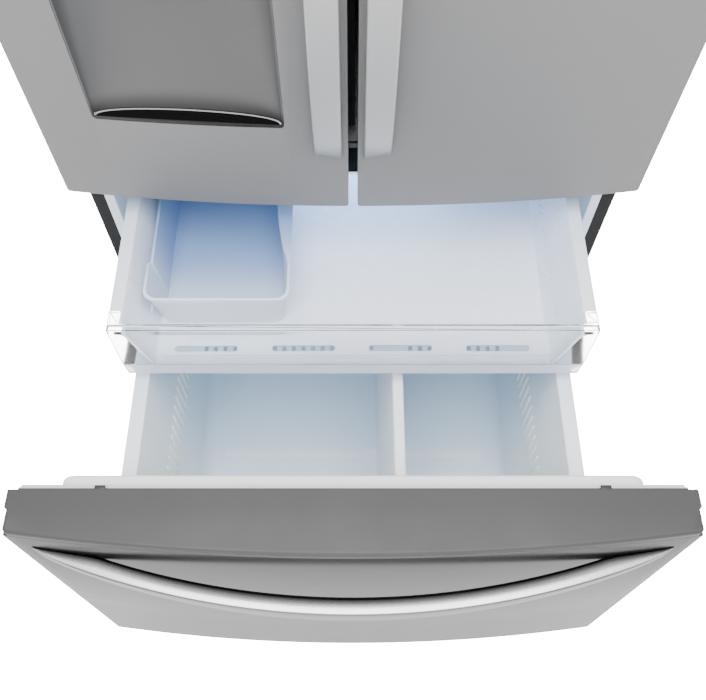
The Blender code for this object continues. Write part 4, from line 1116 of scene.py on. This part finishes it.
def stage():
    deselect()
    bpy.ops.mesh.primitive_plane_add(size=14, location=(0, 0, -0.0005))
    floor = bpy.context.object
    floor.name = "studio_floor"
    ground = plastic("studio floor", (1, 1, 1), 0.7, 0.8, cloud=0.0)
    shader = ground.node_tree.nodes["Principled BSDF"]
    shader.inputs["Emission Color"].default_value = (1, 1, 1, 1)
    path = node_of(ground.node_tree, "ShaderNodeLightPath")
    glow = node_of(ground.node_tree, "ShaderNodeMapRange")
    fill(glow, {"To Min": 0.4, "To Max": 25.0})
    seen = node_of(ground.node_tree, "ShaderNodeMath", operation="MAXIMUM")
    ground.node_tree.links.new(path.outputs["Is Camera Ray"], seen.inputs[0])
    ground.node_tree.links.new(path.outputs["Is Transmission Ray"], seen.inputs[1])
    ground.node_tree.links.new(seen.outputs[0], glow.inputs["Value"])
    ground.node_tree.links.new(glow.outputs["Result"], shader.inputs["Emission Strength"])
    dress(floor, ground)
    world = bpy.data.worlds.new("studio")
    bpy.context.scene.world = world
    world.use_nodes = True
    fill(world.node_tree.nodes["Background"], {"Color": (1, 1, 1, 1), "Strength": 1.25})
    for name, place, aim, size, power in (
            ("overhead softbox", (0.0, -1.0, 3.4), (0, -0.35, 0.6), 2.4, 140),
            ("front softbox", (0.0, -3.6, 1.6), (0, 0, 0.5), 2.4, 45),
            ("freezer lamp", (0.0, 0.06, 0.679), (0, -0.02, 0.5), 0.30, 1.6)):
        lamp = bpy.data.lights.new(name, "AREA")
        lamp.energy = power
        lamp.color = (0.62, 0.78, 1.0) if name == "freezer lamp" else (1, 1, 1)
        lamp.size = size
        item = bpy.data.objects.new(name, lamp)
        bpy.context.collection.objects.link(item)
        item.location = place
        item.rotation_euler = (Vector(aim) - Vector(place)).to_track_quat("-Z", "Y").to_euler()


def camera():
    lens = bpy.data.cameras.new("camera")
    lens.lens = EYE_LENS
    lens.clip_start = 0.01
    item = bpy.data.objects.new("camera", lens)
    bpy.context.collection.objects.link(item)
    item.location = EYE
    item.rotation_euler = (radians(90 - EYE_PITCH), 0, 0)
    bpy.context.scene.camera = item


def dress_frame():
    """Materials of the CAD nodes that stay in view."""
    looks = {
        CASE_PAINT: ["cabinet_case", "mullion_flap"],
        STEP_BLACK: ["centre_rail"],
        GALVANISED: ["rear_panel", "base_pan", "top_hinge_left", "top_hinge_right",
                     "middle_hinge_left", "middle_hinge_right"],
        SLIDE_METAL: ["rail_outer_left", "rail_outer_right", "rail_middle_left",
                      "rail_middle_right", "rail_inner_left", "rail_inner_right"],
        # the fridge liner's front edge carries painted gap shade
        LINER_PAINTED_GAP_SHADE: ["fridge_liner"],
        LINER_WHITE: ["left_door_liner", "right_door_liner",
                      "fridge_duct_panel", "freezer_duct_panel", "ice_room"],
        # the freezer liner deepens in blue towards the back as painted shade
        FREEZER_LINER_PAINTED_DEPTH_SHADE: ["freezer_liner"],
        SHELF_GLASS: ["glass_shelf", "crisper_shelf"],
        TRIM_GREY: ["machine_cover", "condenser_fan"],
        GLOSS_BLACK: ["dispenser_panel", "dispenser_paddle", "dispenser_spout"],
        SOFT_BLACK: ["compressor", "condenser_coil", "rear_roller_left", "rear_roller_right",
                     "front_foot_left", "front_foot_right", "power_inlet"],
    }
    for material, nodes in looks.items():
        for node in nodes:
            keep(node, material)


camera()
stage()
dress_frame()
doors()
door_handles()
dispenser()
drip_tray()
drawer_front()
for word in ("left", "right"):
    seal(f"{word}_door_gasket", f"{word}_door_seal", f"{word}_door", RUBBER)
drawer_handle()
lower_bin()
bin_divider()
freezer_tray()
tray_front()
ice_bin()
clear_boxes()
hinge_covers()
toe_grille()
